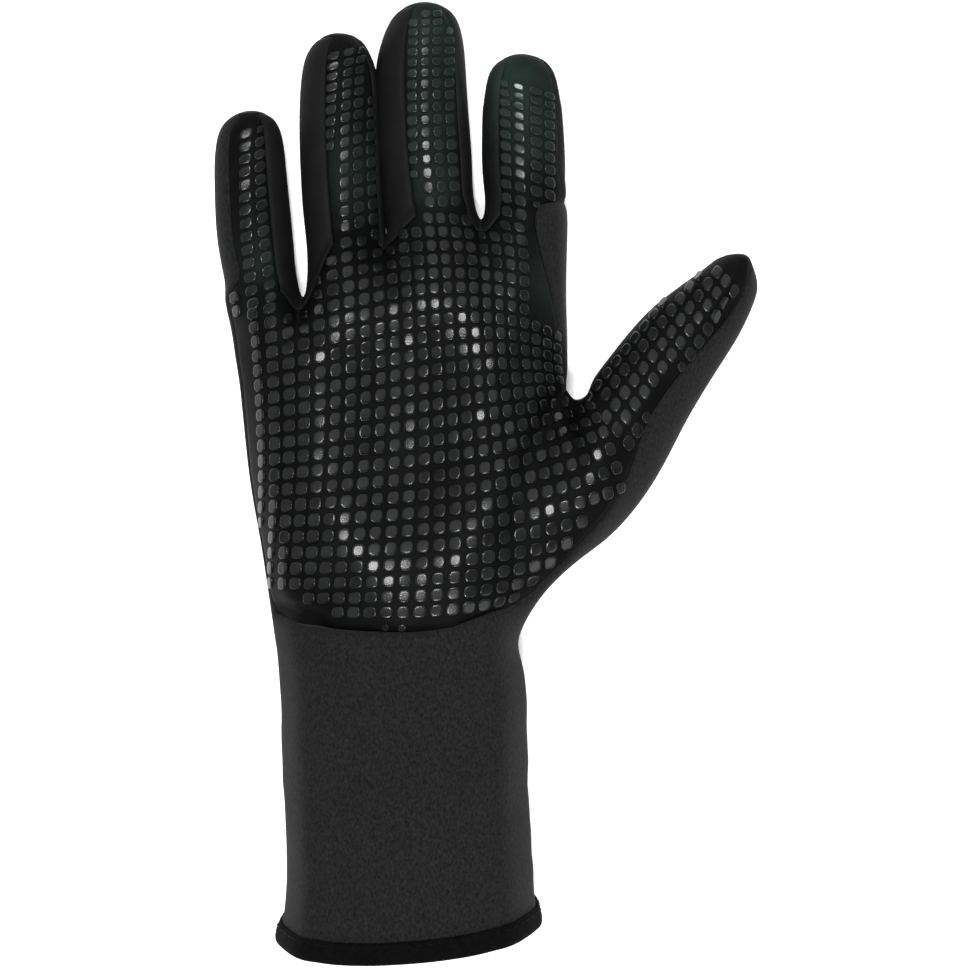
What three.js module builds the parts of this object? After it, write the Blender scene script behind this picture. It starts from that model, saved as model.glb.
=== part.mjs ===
// A right-hand diving glove of foam rubber, lying on its back with the palm up.
// Lengths are millimetres. X runs across the hand to the thumb, Y from the wrist to the fingertips, and Z up
// from the surface that the glove lies on. The origin is on that surface, under the middle of the wrist.
//
// The skin is one cage of quads: rows of columns along the cuff and the palm, a ring of twelve for each finger
// and the thumb. Its smooth surface is the outside of the glove, and the inside lies one wall further in.
// Each sewn panel takes its own quads of the cage, so neighbouring panels share a seam line.

import * as THREE from "three";

// Foam rubber, seams and hem tape
const WALL = 2.5;
const WEB_WALL = 4.5;
const SEAM_GAP = 0.3;
const TAPE_THICKNESS = 1.1;
const TAPE_HEIGHT = 7.2;
const TAPE_BUILD_UP = SEAM_GAP + TAPE_THICKNESS;
// How far the smooth underside dips below the flat on which the glove lies, before it is cut flat
const FLAT_DIP = 1;

// Cuff
const CUFF_LENGTH = 94.5;
const CUFF_WIDTH = 75.5;
const CUFF_DEPTH = 55;
const HEM_SLANT = 5.5;
const HEM_TILT = 2.6;

// Palm, from the wrist seam to the web between ring and middle finger
const PALM_LENGTH = 126;
const PALM_DEPTH = 48;
const WRIST_SLANT = 5.5;

// Fingers
const WEB_GAP = 1.1;
const FINGER_DEPTH_SHARE = 0.93;
const FINGER_CENTRE_HEIGHT = 14.2;
const LITTLE_LENGTH = 57.2;
const LITTLE_WIDTH = 24;
const RING_LENGTH = 66.5;
const RING_WIDTH = 24.9;
const MIDDLE_LENGTH = 67.3;
const MIDDLE_WIDTH = 28.4;
const INDEX_LENGTH = 50.8;
const INDEX_WIDTH = 26.6;

// Thumb
const THUMB_LENGTH = 68;
const THUMB_WIDTH = 31;
const THUMB_ANGLE_DEG = 34.4;
const THUMB_HEIGHT = 27;

// Each finger: reach is where its root lies along the palm, lean and roll turn it (degrees), bow bends its
// middle sideways as a share of its width, and strip is half the angle that the palm panel covers on it.
const FINGERS = [
  { name: "little", length: LITTLE_LENGTH, width: LITTLE_WIDTH, reach: 0.812, lean: -4.3, roll: -4, bow: -0.06, strip: 30 },
  { name: "ring", length: RING_LENGTH, width: RING_WIDTH, reach: 0.93, lean: -1.6, roll: 22, bow: -0.05, strip: 38 },
  { name: "middle", length: MIDDLE_LENGTH, width: MIDDLE_WIDTH, reach: 1, lean: -2.7, roll: 14, bow: -0.045, strip: 36 },
  { name: "index", length: INDEX_LENGTH, width: INDEX_WIDTH, reach: 1.004, lean: -1.3, roll: 18, bow: 0, strip: 42 },
];

// Rings of a finger. A row lies "along" its length, less "back" widths from the tip. "wide" and "deep" are
// shares of its own width and depth, and "lift" raises it by a share of its width. "drop" is how far it follows
// down into a web that lies lower than the finger's own root.
const FINGER_RINGS = [
  { along: 0.09, back: 0, wide: 0.94, deep: 0.99, lift: 0, drop: 0.65 },
  { along: 0.24, back: 0, wide: 0.97, deep: 1, lift: 0, drop: 0.3 },
  { along: 0.42, back: 0, wide: 0.98, deep: 0.97, lift: 0, drop: 0 },
  { along: 0.64, back: 0, wide: 0.95, deep: 0.92, lift: 0.02, drop: 0 },
  { along: 1, back: 0.55, wide: 0.91, deep: 0.86, lift: 0.07, drop: 0 },
  { along: 1, back: 0.26, wide: 0.79, deep: 0.73, lift: 0.11, drop: 0 },
  { along: 1, back: 0.07, wide: 0.48, deep: 0.44, lift: 0.13, drop: 0 },
];
const FINGER_CAP_LIFT = 0.14;

// Rows of the cuff, from the hem to just below the wrist. "along" is a share of the cuff's length from the wrist,
// left and right are shares of its width from the middle line, and high is a share of its depth. A raised row
// leaves room below it for the hem tape.
const CUFF_ROWS = [
  { along: 1, left: 0.502, right: 0.545, high: 1.04, raised: 1 },
  { along: 0.9, left: 0.482, right: 0.532, high: 1.035, raised: 1 },
  { along: 0.77, left: 0.474, right: 0.52, high: 1.03, raised: 0 },
  { along: 0.5, left: 0.487, right: 0.506, high: 1.01, raised: 0 },
  { along: 0.19, left: 0.503, right: 0.495, high: 0.99, raised: 0 },
  { along: 0.055, left: 0.52, right: 0.468, high: 0.97, raised: 0 },
];

// Rows of the palm, from the wrist seam to just above the crotch of the thumb. "along" is a share of the palm's length, left
// and right are shares of the knuckles' width, and the three heights are shares of the palm's depth. A turn is
// the angle from straight up at which the palm panel ends on that side.
const PALM_ROWS = [
  { along: 0.03, left: 0.381, right: 0.452, highLeft: 1.06, highMid: 1.1, highRight: 1.1, turnLeft: 82, turnRight: 52 },
  { along: 0.19, left: 0.411, right: 0.46, highLeft: 1.1, highMid: 1.06, highRight: 1.16, turnLeft: 82, turnRight: 46 },
  { along: 0.37, left: 0.449, right: 0.485, highLeft: 1.05, highMid: 0.9, highRight: 1.1, turnLeft: 82, turnRight: 50 },
  { along: 0.565, left: 0.474, right: 0.47, highLeft: 0.95, highMid: 0.8, highRight: 0.95, turnLeft: 80, turnRight: 78 },
  { along: 0.65, left: 0.49, right: 0.473, highLeft: 0.9, highMid: 0.76, highRight: 0.9, turnLeft: 80, turnRight: 78 },
];
const PAD_HEIGHT_SHARE = 0.82;
const LITTLE_ROOT_TURN_DEG = -60;
const INDEX_ROOT_TURN_DEG = 30;
const WEB_SINK = 2;
const KNUCKLE_SWELL = 1.13;
const KNUCKLE_LEFT_SHARE = -0.525;
const WRIST_RISE_SHARE = 0.09;

// Rings of the thumb. Its inner side faces the index finger. Lengths are shares of the thumb's length along its
// axis, widths shares of its width out from it, and deep is a share of its width. The palm panel ends on the
// outer side where the ring has turned by "seam" degrees from straight up.
const THUMB_RINGS = [
  { alongIn: 0.005, alongOut: -0.44, inner: 0.45, outer: 0.56, deep: 1.2, lift: 0.02, seam: 42 },
  { alongIn: 0.09, alongOut: -0.11, inner: 0.46, outer: 0.6, deep: 1.08, lift: 0.01, seam: 22 },
  { alongIn: 0.23, alongOut: 0.165, inner: 0.45, outer: 0.54, deep: 0.98, lift: 0, seam: 18 },
  { alongIn: 0.455, alongOut: 0.46, inner: 0.395, outer: 0.5, deep: 0.9, lift: -0.03, seam: 18 },
  { alongIn: 0.64, alongOut: 0.645, inner: 0.28, outer: 0.475, deep: 0.82, lift: -0.04, seam: 20 },
  { alongIn: 0.8, alongOut: 0.8, inner: 0.15, outer: 0.41, deep: 0.7, lift: -0.04, seam: 24 },
  { alongIn: 0.925, alongOut: 0.93, inner: 0.01, outer: 0.28, deep: 0.44, lift: -0.04, seam: 28 },
];
const THUMB_CAP = { along: 0.985, across: 0.125, lift: -0.04 };
const THUMB_ROOT_X_SHARE = 0.622;
const THUMB_ROOT_Y_SHARE = 0.488;

// Layout of the cage: the front columns run from the little finger to the index, three to a finger and one to
// a web, then come three on the thumb side, the back columns, and three on the little finger's side.
const FRONT = 15;
const SIDE = 3;
const AROUND = 2 * (FRONT + SIDE);
const RING = 12;
const LAST_FRONT = FRONT - 1;
const FIRST_PALM_ROW = CUFF_ROWS.length;
const CROTCH_ROW = FIRST_PALM_ROW + 3;
const PAD_ROW = FIRST_PALM_ROW + PALM_ROWS.length;
const KNUCKLE_ROW = PAD_ROW + 1;
const BACK_SPREAD_DEG = 40;
const SMOOTHING_PASSES = 12;
const SHARPEST_MITRE = 0.3;

const radians = THREE.MathUtils.degToRad;
const mix = THREE.MathUtils.lerp;
const backColumn = (column) => FRONT + SIDE + LAST_FRONT - column;

const knuckleWidth = FINGERS.reduce((sum, f) => sum + f.width, 0) + (FINGERS.length - 1) * WEB_GAP;
const knuckleLeft = KNUCKLE_LEFT_SHARE * knuckleWidth;

class Cage {
  constructor() {
    this.points = [];
    this.quads = [];
    this.panels = [];
    this.insets = new Map();
  }
  point(x, y, z) {
    this.points.push(new THREE.Vector3(x, y, z));
    return this.points.length - 1;
  }
  quad(panel, ...corners) {
    this.quads.push(corners);
    this.panels.push(panel);
  }
}

// One point of a flattened oval: angle from straight up, positive to the right
function oval({ left, right, bottom, wideHeight, topAt }, angle) {
  const across = Math.sin(angle);
  const x = across < 0 ? -across * left : across * right;
  const round = (power) => (1 - Math.abs(across) ** power) ** (1 / power);
  const z = Math.cos(angle) >= 0
    ? wideHeight + (topAt(across) - wideHeight) * round(2.3)
    : wideHeight - (wideHeight - bottom) * round(2.6);
  return [x, z];
}

// The angles of a row's columns: the front ones are spread evenly across, and the sides lie between
function columnAngles(turnLeft, turnRight) {
  const angles = [];
  const low = -Math.sin(radians(turnLeft));
  const high = Math.sin(radians(turnRight));
  for (let i = 0; i < FRONT; i++) angles.push(Math.asin(mix(low, high, i / LAST_FRONT)));
  const backRight = Math.PI - Math.asin(Math.min(high, 0.93));
  const backLeft = -Math.PI - Math.asin(Math.max(low, -0.93));
  for (let i = 1; i <= SIDE; i++) angles.push(mix(angles[LAST_FRONT], backRight, i / (SIDE + 1)));
  for (let i = LAST_FRONT; i >= 0; i--) {
    angles.push(Math.PI - Math.asin(mix(Math.max(low, -0.93), Math.min(high, 0.93), i / LAST_FRONT)));
  }
  for (let i = 1; i <= SIDE; i++) angles.push(mix(backLeft, angles[0], i / (SIDE + 1)));
  return angles;
}

function cuffRow(cage, row) {
  const highest = row.high * CUFF_DEPTH;
  const section = {
    left: -row.left * CUFF_WIDTH,
    right: row.right * CUFF_WIDTH,
    bottom: mix(-FLAT_DIP, 1.1 * TAPE_BUILD_UP, row.raised),
    wideHeight: highest / 2,
    topAt: () => highest,
  };
  return columnAngles(82, 80).map((angle) => {
    const [x, z] = oval(section, angle);
    const slant = mix(WRIST_SLANT, HEM_SLANT, row.along);
    const y = -row.along * CUFF_LENGTH - slant * Math.cos(angle) + HEM_TILT * row.along * Math.sin(angle);
    return cage.point(x, y, z);
  });
}

function palmRow(cage, row, isWrist) {
  const heights = [row.highLeft, row.highMid, row.highRight].map((share) => share * PALM_DEPTH);
  const section = {
    left: -row.left * knuckleWidth,
    right: row.right * knuckleWidth,
    bottom: -FLAT_DIP,
    wideHeight: 0.45 * heights[1],
    topAt: (across) => {
      const side = across < 0 ? heights[0] : heights[2];
      return mix(heights[1], side, Math.sin(Math.min(1, 1.4 * Math.abs(across)) * Math.PI / 2) ** 2);
    },
  };
  const slant = isWrist ? WRIST_SLANT : WRIST_SLANT * (1 - row.along) * 0.6;
  const rise = isWrist ? WRIST_RISE_SHARE * PALM_LENGTH : 0;
  return columnAngles(row.turnLeft, row.turnRight).map((angle) => {
    const [x, z] = oval(section, angle);
    const right = Math.max(0, Math.sin(angle));
    const y = row.along * PALM_LENGTH - slant * Math.cos(angle) + rise * right ** 2;
    return cage.point(x, y, z);
  });
}

// Each finger's root, axis and the angles of its twelve columns
function fingerFrames() {
  let edge = knuckleLeft;
  const drop = (finger, neighbour) => Math.max(0, finger.reach - (neighbour?.reach ?? finger.reach)) * PALM_LENGTH;
  return FINGERS.map((finger, k) => {
    const root = new THREE.Vector3(edge + finger.width / 2, finger.reach * PALM_LENGTH, 0);
    edge += finger.width + WEB_GAP;
    const lean = radians(finger.lean);
    const front = [finger.roll - finger.strip, finger.roll, finger.roll + finger.strip];
    const back = [180 - BACK_SPREAD_DEG, 180, 180 + BACK_SPREAD_DEG];
    const between = (from, to) => [1, 2, 3].map((i) => mix(from, to, i / 4));
    const angles = [...front, ...between(front[2], back[0]), ...back, ...between(back[2], 360 + front[0])];
    return {
      ...finger,
      root,
      along: new THREE.Vector3(Math.sin(lean), Math.cos(lean), 0),
      across: new THREE.Vector3(Math.cos(lean), -Math.sin(lean), 0),
      angles: angles.map(radians),
      dropLeft: drop(finger, FINGERS[k - 1]),
      dropRight: drop(finger, FINGERS[k + 1]),
    };
  });
}

// The place at a distance from a finger's root, moved across by its bow and up by its lift
function fingerCentre(finger, distance, lift) {
  const share = distance / finger.length;
  const bow = finger.bow * finger.width * 4 * share * (1 - share);
  return finger.root.clone()
    .addScaledVector(finger.along, distance)
    .addScaledVector(finger.across, bow)
    .setZ(FINGER_CENTRE_HEIGHT + lift * finger.width);
}

function fingerPoint(cage, finger, centre, halfWidth, halfDepth, angle) {
  const p = centre.clone().addScaledVector(finger.across, halfWidth * Math.sin(angle));
  return cage.point(p.x, p.y, p.z + halfDepth * Math.cos(angle));
}

// The row where the fingers leave the palm, with a point in the depth of each web
function knuckleRow(cage, fingers) {
  const row = new Array(AROUND);
  const outer = fingers[0];
  const inner = fingers[fingers.length - 1];
  const place = (finger, angle) => {
    const centre = fingerCentre(finger, 0, 0);
    const half = finger.width / 2;
    const swell = Math.cos(angle) > 0 ? KNUCKLE_SWELL : 1;
    return fingerPoint(cage, finger, centre, half, half * FINGER_DEPTH_SHARE * swell, angle);
  };
  fingers.forEach((finger, k) => {
    const left = finger === outer ? radians(LITTLE_ROOT_TURN_DEG) : finger.angles[0];
    const right = finger === inner ? radians(INDEX_ROOT_TURN_DEG) : finger.angles[2];
    for (let i = 0; i < 3; i++) {
      row[4 * k + i] = place(finger, mix(left, right, i / 2));
      row[backColumn(4 * k + i)] = place(finger, finger.angles[8 - i]);
    }
  });
  for (let i = 0; i < SIDE; i++) {
    const share = (i + 1) / (SIDE + 1);
    row[FRONT + i] = place(inner, mix(radians(INDEX_ROOT_TURN_DEG), inner.angles[6], share));
    row[AROUND - SIDE + i] = place(outer, mix(outer.angles[8], radians(360 + LITTLE_ROOT_TURN_DEG), share));
  }
  const webs = fingers.slice(1).map((finger, k) => {
    const before = fingers[k];
    const x = (before.root.x + before.width / 2 + finger.root.x - finger.width / 2) / 2;
    const y = Math.min(before.root.y, finger.root.y) - WEB_SINK;
    const depth = Math.min(before.width, finger.width) * FINGER_DEPTH_SHARE / 2;
    const [front, middle, back] = [1, 0, -1].map((side) => {
      const setBack = side === 0 ? -0.12 : 0.25;
      const height = FINGER_CENTRE_HEIGHT + side * 0.72 * depth;
      const index = cage.point(x, y - setBack * depth, height);
      cage.insets.set(index, new THREE.Vector3(0, -WEB_WALL, -0.5 * side * WEB_WALL));
      return index;
    });
    row[4 * k + 3] = front;
    row[backColumn(4 * k + 3)] = back;
    return middle;
  });
  return { row, webs };
}

// The row of pads below the fingers lies half way between its neighbours, raised on the palm's side
function padRow(cage, below, above) {
  return below.map((index, column) => {
    const p = cage.points[index].clone().lerp(cage.points[above[column]], 0.52);
    if (column > 0 && column < LAST_FRONT) {
      const rounding = Math.sin(Math.PI * column / LAST_FRONT) ** 0.6;
      p.z = mix(p.z, PAD_HEIGHT_SHARE * PALM_DEPTH, 0.7 * rounding);
    }
    if (column >= backColumn(LAST_FRONT) && column <= backColumn(0)) p.z -= 1;
    return cage.point(p.x, p.y, p.z);
  });
}

// Twelve columns closed by eight quads round three points
function capRing(cage, ring, centres, panelOf) {
  const [f, m, b] = centres;
  const r = ring;
  cage.quad(panelOf(0), r[0], r[1], f, r[11]);
  cage.quad(panelOf(0), r[1], r[2], r[3], f);
  cage.quad(panelOf(1), r[11], f, m, r[10]);
  cage.quad(panelOf(1), f, r[3], r[4], m);
  cage.quad(panelOf(2), r[10], m, b, r[9]);
  cage.quad(panelOf(2), m, r[4], r[5], b);
  cage.quad(panelOf(3), r[9], b, r[7], r[8]);
  cage.quad(panelOf(3), b, r[5], r[6], r[7]);
}

function joinRings(cage, lower, upper, panelOf) {
  for (let q = 0; q < RING; q++) {
    const next = (q + 1) % RING;
    cage.quad(panelOf(q), lower[q], lower[next], upper[next], upper[q]);
  }
}

// A finger's quads: the palm panel on the front, gussets on the sides that face a neighbour, else the back
function fingerPanel(k, quad) {
  if (quad < 2) return "palm_panel";
  if (quad < 5 && k < FINGERS.length - 1) return gussetName(k);
  if (quad > 8 && k > 0) return gussetName(k - 1);
  return "back_and_cuff";
}

const gussetName = (k) => `${FINGERS[k].name}_${FINGERS[k + 1].name}_gusset`;

function addFinger(cage, finger, k, row, webs) {
  const right = k < FINGERS.length - 1
    ? [row[4 * k + 3], webs[k], row[backColumn(4 * k + 3)]]
    : row.slice(FRONT, FRONT + SIDE);
  const left = k > 0
    ? [row[backColumn(4 * k - 1)], webs[k - 1], row[4 * k - 1]]
    : row.slice(AROUND - SIDE);
  const front = [0, 1, 2].map((i) => row[4 * k + i]);
  const back = [2, 1, 0].map((i) => row[backColumn(4 * k + i)]);
  let lower = [...front, ...right, ...back, ...left];
  for (const r of FINGER_RINGS) {
    const centre = fingerCentre(finger, r.along * finger.length - r.back * finger.width, r.lift);
    const halfWidth = r.wide * finger.width / 2;
    const halfDepth = r.deep * FINGER_DEPTH_SHARE * finger.width / 2;
    const upper = finger.angles.map((angle) => {
      const side = Math.sin(angle);
      const drop = r.drop * (side < 0 ? finger.dropLeft : finger.dropRight) * Math.abs(side) ** 2;
      const place = centre.clone().addScaledVector(finger.along, -drop);
      return fingerPoint(cage, finger, place, halfWidth, halfDepth, angle);
    });
    joinRings(cage, lower, upper, (q) => fingerPanel(k, q));
    lower = upper;
  }
  const tip = fingerCentre(finger, finger.length, FINGER_CAP_LIFT);
  const capDepth = 0.22 * FINGER_DEPTH_SHARE * finger.width / 2;
  const centres = [1, 0, -1].map((side) => {
    const setBack = Math.abs(side) * 0.02 * finger.width;
    const p = tip.clone().addScaledVector(finger.along, -setBack);
    return cage.point(p.x, p.y, p.z + side * capDepth);
  });
  capRing(cage, lower, centres, (layer) => (layer === 0 ? "palm_panel" : "back_and_cuff"));
}

// The angles of the thumb's columns: four on the front up to the seam, two outside, four behind and two inside
function thumbAngles(seam) {
  const corners = [-50, seam, 138, 222, 310];
  const steps = [3, 3, 3, 3];
  const angles = [];
  steps.forEach((count, k) => {
    for (let i = 0; i < count; i++) angles.push(radians(mix(corners[k], corners[k + 1], i / count)));
  });
  return angles;
}

// The thumb grows out of a gap of three by three quads in the palm's side
function addThumb(cage, rows) {
  const angle = radians(THUMB_ANGLE_DEG);
  const axis = new THREE.Vector3(Math.sin(angle), Math.cos(angle), 0);
  const outward = new THREE.Vector3(Math.cos(angle), -Math.sin(angle), 0);
  const root = new THREE.Vector3(THUMB_ROOT_X_SHARE * knuckleWidth, THUMB_ROOT_Y_SHARE * PALM_LENGTH, 0);
  const column = (c, from, to) => {
    const list = [];
    for (let j = from; from < to ? j <= to : j >= to; j += Math.sign(to - from)) list.push(rows[j][c]);
    return list;
  };
  const last = FRONT + SIDE - 1;
  let lower = [
    ...column(LAST_FRONT, CROTCH_ROW, FIRST_PALM_ROW),
    ...rows[FIRST_PALM_ROW].slice(FRONT, last),
    ...column(last, FIRST_PALM_ROW, CROTCH_ROW),
    ...rows[CROTCH_ROW].slice(FRONT, last).reverse(),
  ];
  const panelOf = (q) => (q <= 2 || q >= 10 ? "palm_panel" : "back_and_cuff");
  const at = (along, across) => root.clone()
    .addScaledVector(axis, along * THUMB_LENGTH)
    .addScaledVector(outward, across * THUMB_WIDTH);
  for (const r of THUMB_RINGS) {
    const inner = at(r.alongIn, -r.inner);
    const outer = at(r.alongOut, r.outer);
    const centre = inner.clone().add(outer).multiplyScalar(0.5);
    const half = outer.clone().sub(inner).multiplyScalar(0.5);
    const height = THUMB_HEIGHT + r.lift * THUMB_LENGTH;
    const upper = thumbAngles(r.seam).map((turn) => {
      const p = centre.clone().addScaledVector(half, Math.sin(turn));
      return cage.point(p.x, p.y, height + r.deep * THUMB_WIDTH / 2 * Math.cos(turn));
    });
    joinRings(cage, lower, upper, panelOf);
    lower = upper;
  }
  const tip = at(THUMB_CAP.along, THUMB_CAP.across);
  const centres = [1, 0, -1].map((side) => {
    const height = THUMB_HEIGHT + THUMB_CAP.lift * THUMB_LENGTH + side * 0.11 * THUMB_WIDTH;
    return cage.point(tip.x, tip.y, height);
  });
  capRing(cage, lower, centres, (layer) => (layer === 0 ? "palm_panel" : "back_and_cuff"));
}

function buildCage() {
  const cage = new Cage();
  const fingers = fingerFrames();
  const rows = CUFF_ROWS.map((row) => cuffRow(cage, row));
  PALM_ROWS.forEach((row, i) => rows.push(palmRow(cage, row, i === 0)));
  const { row: knuckles, webs } = knuckleRow(cage, fingers);
  rows.push(padRow(cage, rows[PAD_ROW - 1], knuckles));
  rows.push(knuckles);
  for (let j = 0; j < KNUCKLE_ROW; j++) {
    for (let i = 0; i < AROUND; i++) {
      const inThumbGap = j >= FIRST_PALM_ROW && j < CROTCH_ROW && i >= LAST_FRONT && i < LAST_FRONT + SIDE;
      if (inThumbGap) continue;
      const next = (i + 1) % AROUND;
      const panel = i < LAST_FRONT && j >= FIRST_PALM_ROW ? "palm_panel" : "back_and_cuff";
      cage.quad(panel, rows[j][i], rows[j][next], rows[j + 1][next], rows[j + 1][i]);
    }
  }
  fingers.forEach((finger, k) => addFinger(cage, finger, k, knuckles, webs));
  addThumb(cage, rows);
  return cage;
}

// Smooth surfaces over a cage of quads

const edgeKey = (a, b) => (a < b ? a * 100000 + b : b * 100000 + a);

// For each point: its neighbours along edges, the far corners of its quads, and its neighbours on an open rim
function neighbourhoods(quads, count) {
  const around = Array.from({ length: count }, () => ({ edges: new Set(), corners: [], rim: [] }));
  const uses = new Map();
  for (const q of quads) {
    q.forEach((a, i) => {
      const b = q[(i + 1) % 4];
      around[a].edges.add(b);
      around[b].edges.add(a);
      around[a].corners.push(q[(i + 2) % 4]);
      const use = uses.get(edgeKey(a, b)) ?? { a, b, times: 0 };
      use.times += 1;
      uses.set(edgeKey(a, b), use);
    });
  }
  for (const { a, b, times } of uses.values()) {
    if (times === 1) {
      around[a].rim.push(b);
      around[b].rim.push(a);
    }
  }
  return { around, edges: [...uses.values()] };
}

const sumOf = (points, indices) => indices.reduce((s, i) => s.add(points[i]), new THREE.Vector3());

// Where each point of a cage ends up on the smooth Catmull-Clark surface
function limitPoints(points, around) {
  return points.map((p, i) => {
    const { edges, corners, rim } = around[i];
    if (rim.length) return sumOf(points, rim).addScaledVector(p, 4).divideScalar(6);
    const n = edges.size;
    return sumOf(points, corners)
      .addScaledVector(sumOf(points, [...edges]), 4)
      .addScaledVector(p, n * n)
      .divideScalar(n * (n + 5));
  });
}

// Moves the cage until its smooth surface runs through the points it was given
function fitCage(cage) {
  const targets = cage.points.map((p) => p.clone());
  const { around } = neighbourhoods(cage.quads, cage.points.length);
  for (let pass = 0; pass < SMOOTHING_PASSES; pass++) {
    const reached = limitPoints(cage.points, around);
    cage.points.forEach((p, i) => p.add(targets[i]).sub(reached[i]));
  }
}

// One Catmull-Clark step. The old points keep their indices; middle(a, b) gives an edge's new point.
function subdivide(cage) {
  const { around, edges } = neighbourhoods(cage.quads, cage.points.length);
  const faceCentres = cage.quads.map((q) => sumOf(cage.points, q).divideScalar(4));
  const facesOf = Array.from({ length: cage.points.length }, () => []);
  const edgeFaces = new Map();
  cage.quads.forEach((q, f) => q.forEach((a, i) => {
    facesOf[a].push(f);
    const key = edgeKey(a, q[(i + 1) % 4]);
    edgeFaces.set(key, [...(edgeFaces.get(key) ?? []), f]);
  }));
  const points = cage.points.map((p, i) => {
    const { edges: near, rim } = around[i];
    if (rim.length) return sumOf(cage.points, rim).addScaledVector(p, 6).divideScalar(8);
    const n = near.size;
    const faces = facesOf[i].reduce((s, f) => s.add(faceCentres[f]), new THREE.Vector3()).divideScalar(n);
    const mids = sumOf(cage.points, [...near]).divideScalar(n).add(p).divideScalar(2);
    return faces.addScaledVector(mids, 2).addScaledVector(p, n - 3).divideScalar(n);
  });
  const middles = new Map();
  for (const { a, b } of edges) {
    const p = cage.points[a].clone().add(cage.points[b]);
    const faces = edgeFaces.get(edgeKey(a, b));
    const share = faces.length === 2 ? 4 : 2;
    if (faces.length === 2) faces.forEach((f) => p.add(faceCentres[f]));
    middles.set(edgeKey(a, b), points.length);
    points.push(p.divideScalar(share));
  }
  const finer = new Cage();
  cage.quads.forEach((q, f) => {
    const centre = points.length;
    points.push(faceCentres[f]);
    q.forEach((a, i) => {
      const next = middles.get(edgeKey(a, q[(i + 1) % 4]));
      const before = middles.get(edgeKey(a, q[(i + 3) % 4]));
      finer.quad(cage.panels[f], a, next, centre, before);
    });
  });
  finer.points = points;
  finer.middle = (a, b) => middles.get(edgeKey(a, b));
  return finer;
}

function pointNormals(points, quads) {
  const normals = points.map(() => new THREE.Vector3());
  const diagonalA = new THREE.Vector3();
  const diagonalB = new THREE.Vector3();
  for (const q of quads) {
    diagonalA.subVectors(points[q[2]], points[q[0]]);
    diagonalB.subVectors(points[q[3]], points[q[1]]);
    const normal = new THREE.Vector3().crossVectors(diagonalA, diagonalB);
    q.forEach((i) => normals[i].add(normal));
  }
  return normals.map((n) => n.normalize());
}

// The glove's two faces: a fine outer one, and a plainer inner one with the cage's own corners
function gloveSkin() {
  const cage = buildCage();
  fitCage(cage);
  const fine = subdivide(cage);
  const { around } = neighbourhoods(fine.quads, fine.points.length);
  fine.points = limitPoints(fine.points, around);
  fine.normals = pointNormals(fine.points, fine.quads);
  const inner = cage.points.map((_, i) => {
    const inset = cage.insets.get(i) ?? fine.normals[i].clone().multiplyScalar(-WALL);
    const p = fine.points[i].clone().add(inset);
    return p.setZ(Math.max(p.z, WALL));
  });
  fine.points.forEach((p) => p.setZ(Math.max(p.z, 0)));
  return { cage, fine, inner };
}

// Panels

function geometryOf(vertices, triangles) {
  const geometry = new THREE.BufferGeometry();
  geometry.setAttribute("position", new THREE.Float32BufferAttribute(vertices.flatMap((v) => v.toArray()), 3));
  geometry.setIndex(triangles.flat());
  geometry.computeVertexNormals();
  return geometry;
}

// The directed edges round a panel that no other quad of the panel uses
function openEdges(quads) {
  const seen = new Map();
  for (const q of quads) {
    q.forEach((a, i) => {
      const b = q[(i + 1) % 4];
      const key = edgeKey(a, b);
      if (seen.has(key)) seen.delete(key);
      else seen.set(key, [a, b]);
    });
  }
  return [...seen.values()];
}

// How each point on a panel's edge is drawn back from its seam, by half a gap on both of its edges
function seamSetBack(points, normals, edges) {
  const sides = new Map();
  for (const [a, b] of edges) {
    const step = new THREE.Vector3().subVectors(points[b], points[a]);
    for (const i of [a, b]) {
      const inward = new THREE.Vector3().crossVectors(normals[i], step).normalize();
      sides.set(i, [...(sides.get(i) ?? []), inward]);
    }
  }
  const moves = new Map();
  for (const [i, [first, second]] of sides) {
    const spread = Math.max(1 + first.dot(second), SHARPEST_MITRE);
    moves.set(i, first.clone().add(second).multiplyScalar(SEAM_GAP / 2 / spread));
  }
  return moves;
}

function panelGeometry(skin, name) {
  const coarse = skin.cage.quads.filter((_, f) => skin.cage.panels[f] === name);
  const fine = skin.fine.quads.filter((_, f) => skin.fine.panels[f] === name);
  const setBack = seamSetBack(skin.fine.points, skin.fine.normals, openEdges(fine));
  const vertices = [];
  const triangles = [];
  const places = new Map();
  const vertex = (side, i) => {
    const key = side + i;
    if (!places.has(key)) {
      const p = (side === "outer" ? skin.fine.points : skin.inner)[i].clone();
      if (setBack.has(i)) p.add(setBack.get(i));
      places.set(key, vertices.push(p) - 1);
    }
    return places.get(key);
  };
  for (const q of fine) {
    const [a, b, c, d] = q.map((i) => vertex("outer", i));
    triangles.push([a, b, c], [a, c, d]);
  }
  for (const q of coarse) {
    const [a, b, c, d] = q.map((i) => vertex("inner", i));
    triangles.push([a, c, b], [a, d, c]);
  }
  for (const [a, b] of openEdges(coarse)) {
    const [outerA, outerB] = [vertex("outer", a), vertex("outer", b)];
    const middle = vertex("outer", skin.fine.middle(a, b));
    const [innerA, innerB] = [vertex("inner", a), vertex("inner", b)];
    triangles.push([outerB, middle, innerB], [middle, outerA, innerA], [middle, innerA, innerB]);
  }
  return geometryOf(vertices, triangles);
}

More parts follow.
